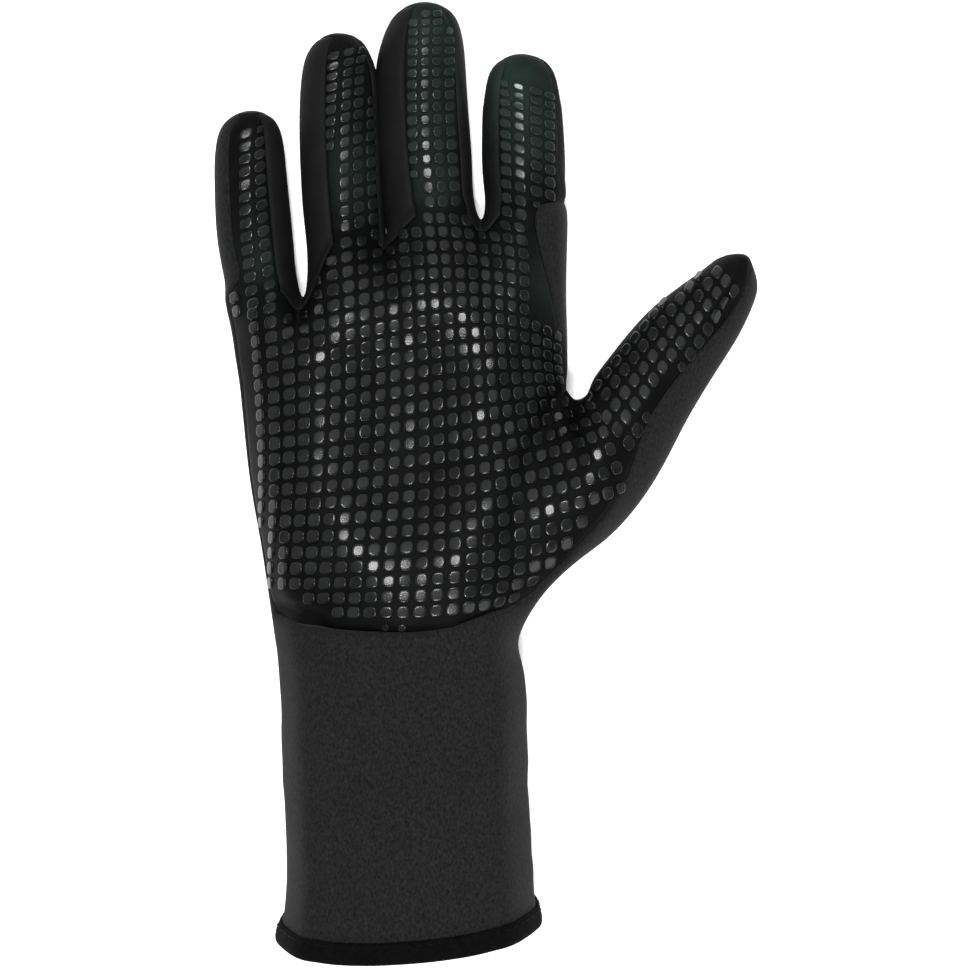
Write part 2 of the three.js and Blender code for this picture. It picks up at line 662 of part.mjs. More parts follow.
// The hem tape is folded over the cuff's edge, one station for each point of the outer rim
function hemTapeGeometry(skin) {
  const { fine, inner } = skin;
  const rim = [...Array(AROUND).keys()];
  const stations = [];
  for (const i of rim) {
    const next = (i + 1) % AROUND;
    const [above, nextAbove] = [i + AROUND, next + AROUND];
    const side = fine.middle(i, above);
    const faceCentre = fine.quads.find((q) => q[0] === i && q[1] === fine.middle(i, next))[2];
    const innerSide = inner[i].clone().lerp(inner[above], 0.5);
    const innerNextSide = inner[next].clone().lerp(inner[nextAbove], 0.5);
    stations.push({ foot: fine.points[i], top: fine.points[side], innerFoot: inner[i], innerTop: innerSide });
    stations.push({
      foot: fine.points[fine.middle(i, next)],
      top: fine.points[faceCentre],
      innerFoot: inner[i].clone().lerp(inner[next], 0.5),
      innerTop: innerSide.clone().lerp(innerNextSide, 0.5),
    });
  }
  const sections = stations.map((s, i) => {
    const before = stations[(i + stations.length - 1) % stations.length];
    const after = stations[(i + 1) % stations.length];
    const round = new THREE.Vector3().subVectors(after.foot, before.foot);
    const up = new THREE.Vector3().subVectors(s.top, s.foot).normalize();
    const out = new THREE.Vector3().crossVectors(round, up).normalize();
    const height = TAPE_HEIGHT - SEAM_GAP - TAPE_THICKNESS;
    const reach = Math.min(1, height / s.top.distanceTo(s.foot));
    const top = s.foot.clone().lerp(s.top, reach);
    const innerTop = s.innerFoot.clone().lerp(s.innerTop, reach);
    const inside = SEAM_GAP;
    const outside = TAPE_BUILD_UP;
    const at = (p, sideways, downwards) => {
      const moved = p.clone().addScaledVector(out, sideways).addScaledVector(up, -downwards);
      return moved.setZ(Math.max(moved.z, 0));
    };
    return [
      at(top, inside, 0),
      at(top, outside - 0.3, -0.2),
      at(top, outside, 0.8),
      at(s.foot, outside, 0),
      at(s.foot, inside - 0.8, outside),
      at(s.innerFoot, -inside + 0.8, outside),
      at(s.innerFoot, -outside, 0),
      at(innerTop, -outside, 0),
      at(innerTop, -inside, 0),
      at(s.innerFoot, -inside, inside),
      at(s.foot, inside, inside),
    ];
  });
  const width = sections[0].length;
  const triangles = [];
  sections.forEach((_, i) => {
    const nextStation = ((i + 1) % sections.length) * width;
    for (let k = 0; k < width; k++) {
      const nextPoint = (k + 1) % width;
      const [a, b] = [i * width + k, i * width + nextPoint];
      const [c, d] = [nextStation + nextPoint, nextStation + k];
      triangles.push([a, b, c], [a, c, d]);
    }
  });
  return geometryOf(sections.flat(), triangles);
}

// The assembled glove

const JERSEY = new THREE.MeshStandardMaterial({ color: 0x2c2c2d, roughness: 0.92, metalness: 0 });
const PALM_RUBBER = new THREE.MeshStandardMaterial({ color: 0x171919, roughness: 0.62, metalness: 0 });
const GUSSET_RUBBER = new THREE.MeshStandardMaterial({ color: 0x1a1b1b, roughness: 0.75, metalness: 0 });
const HEM_TAPE = new THREE.MeshStandardMaterial({ color: 0x0b0b0b, roughness: 0.85, metalness: 0 });

const glove = new THREE.Group();
const skin = gloveSkin();

function addPiece(name, geometry, material) {
  const mesh = new THREE.Mesh(geometry, material);
  mesh.name = name;
  glove.add(mesh);
}

addPiece("back_and_cuff", panelGeometry(skin, "back_and_cuff"), JERSEY);
addPiece("palm_panel", panelGeometry(skin, "palm_panel"), PALM_RUBBER);
for (let k = 0; k < FINGERS.length - 1; k++) {
  addPiece(gussetName(k), panelGeometry(skin, gussetName(k)), GUSSET_RUBBER);
}
addPiece("hem_tape", hemTapeGeometry(skin), HEM_TAPE);

export default glove;
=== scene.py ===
"""A right-hand foam-rubber diving glove, lying on its back with the dotted palm up.

The smooth skin is grown as one cage of quads, row by row, then cut into its sewn panels. Each panel gets its
foam thickness and rolled seam edges, and the dots, hem tape and stitches are laid on it. Tables are in
millimetres, in the frame of the CAD part: X across the hand to the thumb, Y to the fingertips, Z up.
"""

import math
import random
from collections import namedtuple

import bmesh
import bpy
import numpy as np
from bpy.props import FloatProperty, FloatVectorProperty, PointerProperty
from mathutils import Matrix, Vector, noise
from mathutils.bvhtree import BVHTree
from mathutils.kdtree import KDTree


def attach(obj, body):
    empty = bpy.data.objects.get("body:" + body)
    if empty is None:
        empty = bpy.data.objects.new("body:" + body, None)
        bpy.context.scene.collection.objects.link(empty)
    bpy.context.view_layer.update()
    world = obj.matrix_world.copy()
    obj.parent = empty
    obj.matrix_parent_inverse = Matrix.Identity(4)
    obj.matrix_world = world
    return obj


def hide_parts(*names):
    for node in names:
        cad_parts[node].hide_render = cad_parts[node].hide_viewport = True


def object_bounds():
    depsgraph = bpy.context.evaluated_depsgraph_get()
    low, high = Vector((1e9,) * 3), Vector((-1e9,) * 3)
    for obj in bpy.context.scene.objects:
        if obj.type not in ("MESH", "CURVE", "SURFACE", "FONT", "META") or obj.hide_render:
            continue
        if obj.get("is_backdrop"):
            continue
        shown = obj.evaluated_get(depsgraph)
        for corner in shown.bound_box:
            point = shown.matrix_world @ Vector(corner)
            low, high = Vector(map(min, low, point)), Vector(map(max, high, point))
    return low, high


bl_info = {
    "name": "Diving glove",
    "version": (1, 0, 0),
    "blender": (4, 5, 0),
    "location": "3D View > Sidebar > Glove",
    "description": "Dresses the frame of a foam-rubber diving glove with panels, grip dots, hem tape and seams",
    "category": "Add Mesh",
}

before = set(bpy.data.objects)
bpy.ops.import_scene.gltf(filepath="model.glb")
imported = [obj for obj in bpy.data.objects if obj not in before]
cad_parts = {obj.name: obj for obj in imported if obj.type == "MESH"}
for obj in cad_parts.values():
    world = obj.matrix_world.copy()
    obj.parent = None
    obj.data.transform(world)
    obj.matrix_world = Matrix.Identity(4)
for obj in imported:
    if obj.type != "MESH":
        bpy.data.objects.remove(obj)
frame_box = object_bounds()

MM = 0.001


def table(name, fields, rows):
    """The rows of a table as named tuples."""
    kind = namedtuple(name, fields)
    return [kind(*row) for row in rows]


def to_mesh(bm, name):
    """Ends a bmesh and returns what it held as a mesh."""
    mesh = bpy.data.meshes.new(name)
    bm.to_mesh(mesh)
    bm.free()
    return mesh


def add_object(name, data):
    made = bpy.data.objects.new(name, data)
    bpy.context.scene.collection.objects.link(made)
    return made


# Sizes, colours and the stage

def length(name, description, millimetres):
    return FloatProperty(name=name, description=description, default=millimetres * MM, unit="LENGTH", precision=5)


def number(name, description, value, unit="NONE"):
    return FloatProperty(name=name, description=description, default=value, min=0, unit=unit)


def linear(hex_colour):
    """An sRGB hex colour as linear red, green and blue."""
    parts = [int(hex_colour[i:i + 2], 16) / 255 for i in (1, 3, 5)]
    return [c / 12.92 if c <= 0.04045 else ((c + 0.055) / 1.055) ** 2.4 for c in parts]


def colour(name, description, hex_colour):
    return FloatVectorProperty(
        name=name, description=description, default=linear(hex_colour), subtype="COLOR", size=3, min=0, max=1
    )


class GloveSizes(bpy.types.PropertyGroup):
    wall: length("Foam thickness", "Thickness of the foam rubber", 2.5)
    seam_width: length("Seam edge", "How far the edge that rolls into a seam reaches, on each side of it", 0.75)
    seam_depth: length("Seam depth", "How deep a panel's edge sinks at its seam", 0.45)
    dot_share: number("Dot share", "Radius of a grip dot as a share of the step to the next dot", 0.42)
    dot_reach: length("Dot reach", "Longest distance from a dot's middle to its side", 2.1)
    dot_height: length("Dot height", "How far a grip dot stands out of the palm", 0.55)
    dot_lean: number("Dot lean", "How unevenly the grip dots lean, as a slope", 0.032)
    dot_margin: length("Dot margin", "Least distance from a dot's centre to its panel's edge", 1.3)
    dot_clear: length("Dot clearance", "Least distance from a dot's side to its panel's edge", 0.15)
    dot_spacing: length("Dot spacing", "Least distance between the centres of two dots", 2.75)
    tape_height: length("Tape height", "How far the hem tape reaches up the cuff", 5.6)
    tape_thickness: length("Tape thickness", "Thickness of the hem tape", 1.1)
    stitch_pitch: length("Stitch pitch", "Distance between the stitches of the hem", 3.4)
    thread_radius: length("Thread radius", "Radius of the sewing thread", 0.17)


class GloveColours(bpy.types.PropertyGroup):
    jersey: colour("Jersey", "Charcoal nylon jersey on the back and cuff", "#070708")
    jersey_light: colour("Jersey, lighter yarn", "The paler yarn in the heathered jersey", "#1a1a1b")
    palm: colour("Palm rubber", "Ground of the palm panel", "#060606")
    # Painted sheen: a brighter, green-tinted colour laid on the rubber where it catches the light
    palm_sheen_colour: colour("Palm rubber, green cast", "Faint green cast of the palm rubber in places", "#18221e")
    gusset: colour("Gusset", "Smooth foam rubber between the fingers", "#090909")
    dot: colour("Grip dot", "Moulded rubber dots", "#0e0f0f")
    tape: colour("Hem tape", "Woven tape round the hem", "#020202")
    thread: colour("Thread", "Sewing thread", "#030303")


class GloveStage(bpy.types.PropertyGroup):
    camera_height: length("Camera height", "Height of the camera above the floor", 950)
    camera_x: length("Camera X", "Where the camera hangs, across the hand", 25.11)
    camera_y: length("Camera Y", "Where the camera hangs, along the hand", 42.32)
    focal_length: number("Focal length", "Lens of the camera", 110.74, "CAMERA")
    sky: number("Surroundings", "Brightness of the surroundings", 0.47)
    floor: colour("Floor", "Pale floor under the glove", "#fbfbfb")
    floor_glow: number("Floor glow", "Light that the floor gives off", 0.22)


# Tables of the glove's shape

# The ring and middle finger lean on each other, and swell where they meet
FINGERS = table("Finger", "name length width reach lean roll bow strip swell_left swell_right", [
    ("little", 57.2, 24, 0.812, -4.3, -1, -0.06, 32, 0, 0),
    ("ring", 66.5, 24.9, 0.93, -1.6, 22, -0.05, 38, 0, 1.5),
    ("middle", 67.3, 28.4, 1, -2.7, 14, -0.045, 36, 1.5, 0),
    ("index", 50.8, 26.6, 1.004, -1.3, 12, 0, 48, 0, 0),
])

FINGER_RINGS = table("FingerRing", "along back wide deep lift drop swell", [
    (0.09, 0, 0.94, 0.99, 0, 0.65, 1.1),
    (0.24, 0, 0.97, 1, 0, 0.3, 1),
    (0.42, 0, 0.98, 0.97, 0, 0, 1),
    (0.64, 0, 0.95, 0.92, 0.02, 0, 1),
    (1, 0.55, 0.91, 0.86, 0.07, 0, 0.7),
    (1, 0.26, 0.79, 0.73, 0.11, 0, 0),
    (1, 0.07, 0.48, 0.44, 0.13, 0, 0),
])

CUFF_ROWS = table("CuffRow", "along left right high raised", [
    (1, 0.502, 0.545, 1.04, 1),
    (0.9, 0.482, 0.532, 1.035, 1),
    (0.77, 0.474, 0.52, 1.03, 0),
    (0.5, 0.487, 0.506, 1.01, 0),
    (0.19, 0.503, 0.495, 0.99, 0),
    (0.055, 0.52, 0.468, 0.97, 0),
])

PALM_ROWS = table("PalmRow", "along left right high_left high_mid high_right turn_left turn_right", [
    (0.03, 0.381, 0.452, 1.06, 1.1, 1.1, 82, 52),
    (0.19, 0.411, 0.46, 1.1, 1.06, 1.16, 82, 46),
    (0.37, 0.449, 0.485, 1.05, 0.9, 1.1, 82, 50),
    (0.565, 0.474, 0.47, 0.95, 0.8, 0.95, 80, 78),
    (0.65, 0.49, 0.473, 0.9, 0.76, 0.9, 80, 78),
])

THUMB_RINGS = table("ThumbRing", "along_in along_out inner outer deep lift seam", [
    (0.005, -0.44, 0.45, 0.56, 1.2, 0.02, 42),
    (0.09, -0.11, 0.46, 0.6, 1.08, 0.01, 22),
    (0.23, 0.165, 0.45, 0.54, 0.98, 0, 18),
    (0.455, 0.46, 0.41, 0.5, 0.9, -0.03, 26),
    (0.64, 0.645, 0.3, 0.485, 0.82, -0.04, 30),
    (0.8, 0.8, 0.172, 0.43, 0.7, -0.04, 30),
    (0.895, 0.9, 0.095, 0.32, 0.47, -0.04, 28),
])

CUFF_LENGTH = 94.5
CUFF_WIDTH = 75.5
CUFF_DEPTH = 55
CUFF_TURNS = (82, 80)
HEM_SLANT = 5.5
HEM_TILT = 2.6
HEM_RAISE = 1.54
PALM_LENGTH = 126
PALM_DEPTH = 48
WRIST_SLANT = 5.5
WRIST_RISE_SHARE = 0.09
PALM_SLANT_SHARE = 0.6
PALM_MIDDLE_SPREAD = 1.4
PALM_WIDEST_SHARE = 0.45
TOP_SQUARENESS = 2.3
BOTTOM_SQUARENESS = 2.6
BACK_SPREAD = 0.93
WEB_GAP = 1.1
WEB_SINKS = (2, -2.5, 1.5)
WEB_HALF_HEIGHT = 0.72
WEB_EDGE_DIP = 0.25
WEB_MIDDLE_RISE = 0.12
FINGER_DEPTH_SHARE = 0.93
FINGER_CENTRE_HEIGHT = 14.2
FINGER_CAP_LIFT = 0.14
FINGER_CAP_DEPTH = 0.22
FINGER_CAP_SETBACK = 0.02
FINGER_BACK_TURNS = [140, 180, 220]
THUMB_LENGTH = 68
THUMB_WIDTH = 31
THUMB_ANGLE = math.radians(34.4)
THUMB_HEIGHT = 27
THUMB_CAP_ALONG = 0.957
THUMB_CAP_ACROSS = 0.09
THUMB_CAP_LIFT = -0.04
THUMB_CAP_DEPTH = 0.11
THUMB_INNER_TURN = -50
THUMB_BACK_TURNS = [138, 222, 310]
PAD_HEIGHT_SHARE = 0.82
PAD_ROW_SHARE = 0.52
PAD_SQUARENESS = 0.6
PAD_FULLNESS = 0.7
LITTLE_ROOT_TURN = -60
INDEX_ROOT_TURN = 14
KNUCKLE_SWELL = 1.13
FLAT_DIP = 1

# Layout of the cage: columns on the palm side, on each flank, and in all
FRONT = 15
SIDE = 3
AROUND = 2 * (FRONT + SIDE)
LAST_FRONT = FRONT - 1
FIRST_PALM_ROW = len(CUFF_ROWS)
CROTCH_ROW = FIRST_PALM_ROW + 3
SMOOTHING_PASSES = 12
SKIN_LEVELS = 3

PANELS = ["back_and_cuff", "palm_panel", "little_ring_gusset", "ring_middle_gusset", "middle_index_gusset"]
BACK, PALM, FIRST_GUSSET = 0, 1, 2

KNUCKLE_WIDTH = sum(f.width for f in FINGERS) + (len(FINGERS) - 1) * WEB_GAP
KNUCKLE_LEFT = -0.525 * KNUCKLE_WIDTH
# The thumb's root stands beyond the palm's edge, about half way up the palm
THUMB_ROOT = np.array([0.622 * KNUCKLE_WIDTH, 0.488 * PALM_LENGTH])
THUMB_AXIS = np.array([math.sin(THUMB_ANGLE), math.cos(THUMB_ANGLE)])
THUMB_OUT = np.array([math.cos(THUMB_ANGLE), -math.sin(THUMB_ANGLE)])


def mix(a, b, share):
    return a + (b - a) * share


def back_column(column):
    return FRONT + SIDE + LAST_FRONT - column


# Rows and rings of the cage, as lists of points

def oval(left, right, bottom, wide_height, top_at, angle):
    """One point of a flattened oval, at an angle from straight up, positive to the right."""
    across = math.sin(angle)
    x = -across * left if across < 0 else across * right
    if math.cos(angle) >= 0:
        rise, power = top_at(across) - wide_height, TOP_SQUARENESS
    else:
        rise, power = bottom - wide_height, BOTTOM_SQUARENESS
    return x, wide_height + rise * (1 - abs(across) ** power) ** (1 / power)


def column_angles(turn_left, turn_right):
    """The angles of a row's columns: the front ones are spread evenly across, and the flanks lie between."""
    low, high = -math.sin(math.radians(turn_left)), math.sin(math.radians(turn_right))
    low_back, high_back = max(low, -BACK_SPREAD), min(high, BACK_SPREAD)
    front = [math.asin(mix(low, high, i / LAST_FRONT)) for i in range(FRONT)]
    back = [math.pi - math.asin(mix(low_back, high_back, i / LAST_FRONT)) for i in reversed(range(FRONT))]
    steps = [i / (SIDE + 1) for i in range(1, SIDE + 1)]
    right = [mix(front[-1], back[0], s) for s in steps]
    left = [mix(-math.pi - math.asin(low_back), front[0], s) for s in steps]
    return front + right + back + left


def cuff_points(row):
    highest = row.high * CUFF_DEPTH
    points = []
    for angle in column_angles(*CUFF_TURNS):
        x, z = oval(
            -row.left * CUFF_WIDTH, row.right * CUFF_WIDTH, mix(-FLAT_DIP, HEM_RAISE, row.raised),
            highest / 2, lambda across: highest, angle,
        )
        slant = mix(WRIST_SLANT, HEM_SLANT, row.along) * math.cos(angle)
        points.append((x, -row.along * CUFF_LENGTH - slant + HEM_TILT * row.along * math.sin(angle), z))
    return points


def palm_points(row):
    left, middle, right = (share * PALM_DEPTH for share in (row.high_left, row.high_mid, row.high_right))
    is_wrist = row is PALM_ROWS[0]
    slant = WRIST_SLANT if is_wrist else WRIST_SLANT * (1 - row.along) * PALM_SLANT_SHARE
    rise = WRIST_RISE_SHARE * PALM_LENGTH if is_wrist else 0

    def top_at(across):
        share = math.sin(min(1, PALM_MIDDLE_SPREAD * abs(across)) * math.pi / 2) ** 2
        return mix(middle, left if across < 0 else right, share)

    points = []
    for angle in column_angles(row.turn_left, row.turn_right):
        x, z = oval(
            -row.left * KNUCKLE_WIDTH, row.right * KNUCKLE_WIDTH, -FLAT_DIP,
            PALM_WIDEST_SHARE * middle, top_at, angle,
        )
        y = row.along * PALM_LENGTH - slant * math.cos(angle) + rise * max(0, math.sin(angle)) ** 2
        points.append((x, y, z))
    return points


class FingerFrame:
    """A finger's root, axis and the angles of its twelve columns."""

    def __init__(self, k):
        self.finger = finger = FINGERS[k]
        edge = KNUCKLE_LEFT + sum(f.width + WEB_GAP for f in FINGERS[:k])
        lean = math.radians(finger.lean)
        self.root = np.array([edge + finger.width / 2, finger.reach * PALM_LENGTH])
        self.along = np.array([math.sin(lean), math.cos(lean)])
        self.across = np.array([math.cos(lean), -math.sin(lean)])
        front = [finger.roll - finger.strip, finger.roll, finger.roll + finger.strip]
        back = FINGER_BACK_TURNS
        quarters = (0.25, 0.5, 0.75)
        turns = front + [mix(front[2], back[0], s) for s in quarters]
        turns += back + [mix(back[2], 360 + front[0], s) for s in quarters]
        self.angles = [math.radians(turn) for turn in turns]
        before = FINGERS[k - 1].reach if k > 0 else finger.reach
        after = FINGERS[k + 1].reach if k + 1 < len(FINGERS) else finger.reach
        self.drops = [max(0, finger.reach - other) * PALM_LENGTH for other in (before, after)]

    def centre(self, distance, lift=0):
        share = distance / self.finger.length
        bow = self.finger.bow * self.finger.width * 4 * share * (1 - share)
        x, y = self.root + self.along * distance + self.across * bow
        return np.array([x, y, FINGER_CENTRE_HEIGHT + lift * self.finger.width])

    def point(self, centre, half_width, half_depth, angle):
        x, y = centre[:2] + self.across * half_width * math.sin(angle)
        return np.array([x, y, centre[2] + half_depth * math.cos(angle)])

    def root_point(self, angle):
        half = self.finger.width / 2
        swell = KNUCKLE_SWELL if math.cos(angle) > 0 else 1
        return self.point(self.centre(0), half, half * FINGER_DEPTH_SHARE * swell, angle)

    def ring_points(self, ring):
        width = self.finger.width
        centre = self.centre(ring.along * self.finger.length - ring.back * width, ring.lift)
        points = []
        for angle in self.angles:
            side = math.sin(angle)
            drop = ring.drop * self.drops[0 if side < 0 else 1] * side * side
            place = centre - np.append(self.along * drop, 0)
            half_depth = ring.deep * FINGER_DEPTH_SHARE * width / 2
            swell = ring.swell * (self.finger.swell_left if side < 0 else self.finger.swell_right)
            points.append(self.point(place, ring.wide * width / 2 + swell, half_depth, angle))
        return points

    def cap_points(self):
        width = self.finger.width
        tip = self.centre(self.finger.length, FINGER_CAP_LIFT)
        depth = FINGER_CAP_DEPTH * FINGER_DEPTH_SHARE * width / 2
        setback = self.along * FINGER_CAP_SETBACK * width
        return [tip - np.append(setback * abs(side), -side * depth) for side in (1, 0, -1)]


def knuckle_points(fingers):
    """The row where the fingers leave the palm, and the middle of each web."""
    row = [None] * AROUND
    outer, inner = fingers[0], fingers[-1]
    little_turn, index_turn = math.radians(LITTLE_ROOT_TURN), math.radians(INDEX_ROOT_TURN)
    for k, finger in enumerate(fingers):
        left = little_turn if finger is outer else finger.angles[0]
        right = index_turn if finger is inner else finger.angles[2]
        for i in range(3):
            row[4 * k + i] = finger.root_point(mix(left, right, i / 2))
            row[back_column(4 * k + i)] = finger.root_point(finger.angles[8 - i])
    for i in range(SIDE):
        share = (i + 1) / (SIDE + 1)
        row[FRONT + i] = inner.root_point(mix(index_turn, inner.angles[6], share))
        row[AROUND - SIDE + i] = outer.root_point(mix(outer.angles[8], little_turn + 2 * math.pi, share))
    webs = []
    for k in range(1, len(fingers)):
        before, after = fingers[k - 1], fingers[k]
        x = (before.root[0] + before.finger.width / 2 + after.root[0] - after.finger.width / 2) / 2
        y = min(before.root[1], after.root[1]) - WEB_SINKS[k - 1]
        depth = min(before.finger.width, after.finger.width) * FINGER_DEPTH_SHARE / 2
        front, middle, back = (
            (
                x, y - (WEB_EDGE_DIP if side else -WEB_MIDDLE_RISE) * depth,
                FINGER_CENTRE_HEIGHT + side * WEB_HALF_HEIGHT * depth,
            )
            for side in (1, 0, -1)
        )
        row[4 * k - 1] = front
        row[back_column(4 * k - 1)] = back
        webs.append(middle)
    return row, webs


def pad_points(below, above):
    """The row of pads half way below the fingers, raised on the palm side."""
    points = []
    for column, (low, high) in enumerate(zip(below, above)):
        p = mix(np.array(low, float), np.array(high, float), PAD_ROW_SHARE)
        if 0 < column < LAST_FRONT:
            rounding = math.sin(math.pi * column / LAST_FRONT) ** PAD_SQUARENESS
            p[2] = mix(p[2], PAD_HEIGHT_SHARE * PALM_DEPTH, PAD_FULLNESS * rounding)
        if back_column(LAST_FRONT) <= column <= back_column(0):
            p[2] -= FLAT_DIP
        points.append(p)
    return points


def thumb_at(along, across):
    return THUMB_ROOT + THUMB_AXIS * along * THUMB_LENGTH + THUMB_OUT * across * THUMB_WIDTH


def thumb_points(ring):
    inner, outer = thumb_at(ring.along_in, -ring.inner), thumb_at(ring.along_out, ring.outer)
    height = THUMB_HEIGHT + ring.lift * THUMB_LENGTH
    corners = [THUMB_INNER_TURN, ring.seam, *THUMB_BACK_TURNS]
    turns = [math.radians(mix(corners[k], corners[k + 1], i / 3)) for k in range(4) for i in range(3)]
    points = []
    for turn in turns:
        x, y = mix(inner, outer, 0.5 + 0.5 * math.sin(turn))
        points.append((x, y, height + ring.deep * THUMB_WIDTH / 2 * math.cos(turn)))
    return points


# Growing the cage

def place(verts, points):
    for vert, point in zip(verts, points):
        vert.co = point


def edges_of(bm, loop, closed=True):
    ends = loop[1:] + loop[:1] if closed else loop[1:]
    return [bm.edges.get((a, b)) for a, b in zip(loop, ends)]


def grow(bm, loop, points):
    """Extrudes a closed loop of edges to new points and returns the new loop in the same order."""
    made = bmesh.ops.extrude_edge_only(bm, edges=edges_of(bm, loop))["geom"]
    new = {v for v in made if isinstance(v, bmesh.types.BMVert)}
    upper = [next(e.other_vert(v) for e in v.link_edges if e.other_vert(v) in new) for v in loop]
    place(upper, points)
    return upper


def sweep(bm, rows):
    """Grows a tube through rows of points and returns its first and its last loop."""
    first = loop = bmesh.ops.create_circle(bm, segments=len(rows[0]), radius=1)["verts"]
    place(first, rows[0])
    for row in rows[1:]:
        loop = grow(bm, loop, row)
    return first, loop


def name_faces(bm, lower, upper, panel_of):
    for q in range(len(lower)):
        n = (q + 1) % len(lower)
        bm.faces.get((lower[q], lower[n], upper[n], upper[q])).material_index = panel_of(q)


def close_tip(bm, ring, centres):
    """Fills a ring of twelve with two by four quads, whose three inner points are given."""
    chains = edges_of(bm, ring[0:3], False) + edges_of(bm, ring[6:9], False)
    faces = bmesh.ops.grid_fill(bm, edges=chains)["faces"]
    inner = {v for f in faces for v in f.verts} - set(ring)
    front = next(v for v in inner if any(e.other_vert(v) is ring[1] for e in v.link_edges))
    rear = next(v for v in inner if any(e.other_vert(v) is ring[7] for e in v.link_edges))
    (middle,) = inner - {front, rear}
    place([front, middle, rear], centres)
    for face in faces:
        face.material_index = PALM if ring[1] in face.verts else BACK


def finger_panel(k, quad):
    if quad < 2:
        return PALM
    if quad < 5 and k < len(FINGERS) - 1:
        return FIRST_GUSSET + k
    if quad > 8 and k > 0:
        return FIRST_GUSSET + k - 1
    return BACK


def grow_finger(bm, k, finger, knuckles, webs):
    right = knuckles[FRONT:FRONT + SIDE]
    left = knuckles[AROUND - SIDE:]
    if k < len(FINGERS) - 1:
        right = [knuckles[4 * k + 3], webs[k], knuckles[back_column(4 * k + 3)]]
    if k > 0:
        left = [knuckles[back_column(4 * k - 1)], webs[k - 1], knuckles[4 * k - 1]]
    front = [knuckles[4 * k + i] for i in range(3)]
    back = [knuckles[back_column(4 * k + i)] for i in (2, 1, 0)]
    loop = front + right + back + left
    for ring in FINGER_RINGS:
        upper = grow(bm, loop, finger.ring_points(ring))
        name_faces(bm, loop, upper, lambda quad: finger_panel(k, quad))
        loop = upper
    close_tip(bm, loop, finger.cap_points())


def grow_thumb(bm, rows):
    """The thumb grows out of a gap of three by three quads in the palm's flank."""
    last = FRONT + SIDE - 1
    inside = [rows[j][i] for j in (FIRST_PALM_ROW + 1, FIRST_PALM_ROW + 2) for i in (FRONT, FRONT + 1)]
    bmesh.ops.delete(bm, geom=inside, context="VERTS")
    loop = [rows[j][LAST_FRONT] for j in range(CROTCH_ROW, FIRST_PALM_ROW - 1, -1)]
    loop += rows[FIRST_PALM_ROW][FRONT:last]
    loop += [rows[j][last] for j in range(FIRST_PALM_ROW, CROTCH_ROW + 1)]
    loop += rows[CROTCH_ROW][FRONT:last][::-1]
    for ring in THUMB_RINGS:
        upper = grow(bm, loop, thumb_points(ring))
        name_faces(bm, loop, upper, lambda quad: PALM if quad <= 2 or quad >= 10 else BACK)
        loop = upper
    tip = thumb_at(THUMB_CAP_ALONG, THUMB_CAP_ACROSS)
    height = THUMB_HEIGHT + THUMB_CAP_LIFT * THUMB_LENGTH
    caps = [(*tip, height + side * THUMB_CAP_DEPTH * THUMB_WIDTH) for side in (1, 0, -1)]
    close_tip(bm, loop, caps)


def fit_to_points(bm):
    """Moves the cage until its smooth surface runs through the points it was given.

    The weights are those of the limit of a Catmull-Clark surface, at its edge and at a point with n edges.
    """
    bm.verts.index_update()
    count = len(bm.verts)
    reach = np.zeros((count, count))
    for v in bm.verts:
        rim = [e.other_vert(v).index for e in v.link_edges if e.is_boundary]
        if rim:
            reach[v.index, v.index] = 2 / 3
            reach[v.index, rim] = 1 / 6
            continue
        n = len(v.link_edges)
        share = 1 / (n * (n + 5))
        reach[v.index, v.index] = n * n * share
        for e in v.link_edges:
            reach[v.index, e.other_vert(v).index] += 4 * share
        for loop in v.link_loops:
            reach[v.index, loop.link_loop_next.link_loop_next.vert.index] += share
    targets = np.array([v.co for v in bm.verts])
    points = targets.copy()
    for _ in range(SMOOTHING_PASSES):
        points += targets - reach @ points
    place(bm.verts, points)


def grow_cage():
    bm = bmesh.new()
    fingers = [FingerFrame(k) for k in range(len(FINGERS))]
    points = [cuff_points(row) for row in CUFF_ROWS] + [palm_points(row) for row in PALM_ROWS]
    knuckle_row, web_points = knuckle_points(fingers)
    points += [pad_points(points[-1], knuckle_row), knuckle_row]
    hem = bmesh.ops.create_circle(bm, segments=AROUND, radius=1)["verts"]
    place(hem, points[0])
    rows = [hem]
    for j, row in enumerate(points[1:]):
        rows.append(grow(bm, rows[-1], row))
        in_palm = j >= FIRST_PALM_ROW
        name_faces(bm, rows[-2], rows[-1], lambda i: PALM if in_palm and i < LAST_FRONT else BACK)
    grow_thumb(bm, rows)
    webs = []
    for k, middle in enumerate(web_points):
        front, back = rows[-1][4 * k + 3], rows[-1][back_column(4 * k + 3)]
        (web,) = bmesh.ops.extrude_vert_indiv(bm, verts=[front])["verts"]
        web.co = middle
        bmesh.ops.contextual_create(bm, geom=[web, back])
        webs.append(web)
    for k, finger in enumerate(fingers):
        grow_finger(bm, k, finger, rows[-1], webs)
    bmesh.ops.recalc_face_normals(bm, faces=bm.faces)
    fit_to_points(bm)
    bmesh.ops.scale(bm, vec=(MM, MM, MM), verts=bm.verts)
    return bm


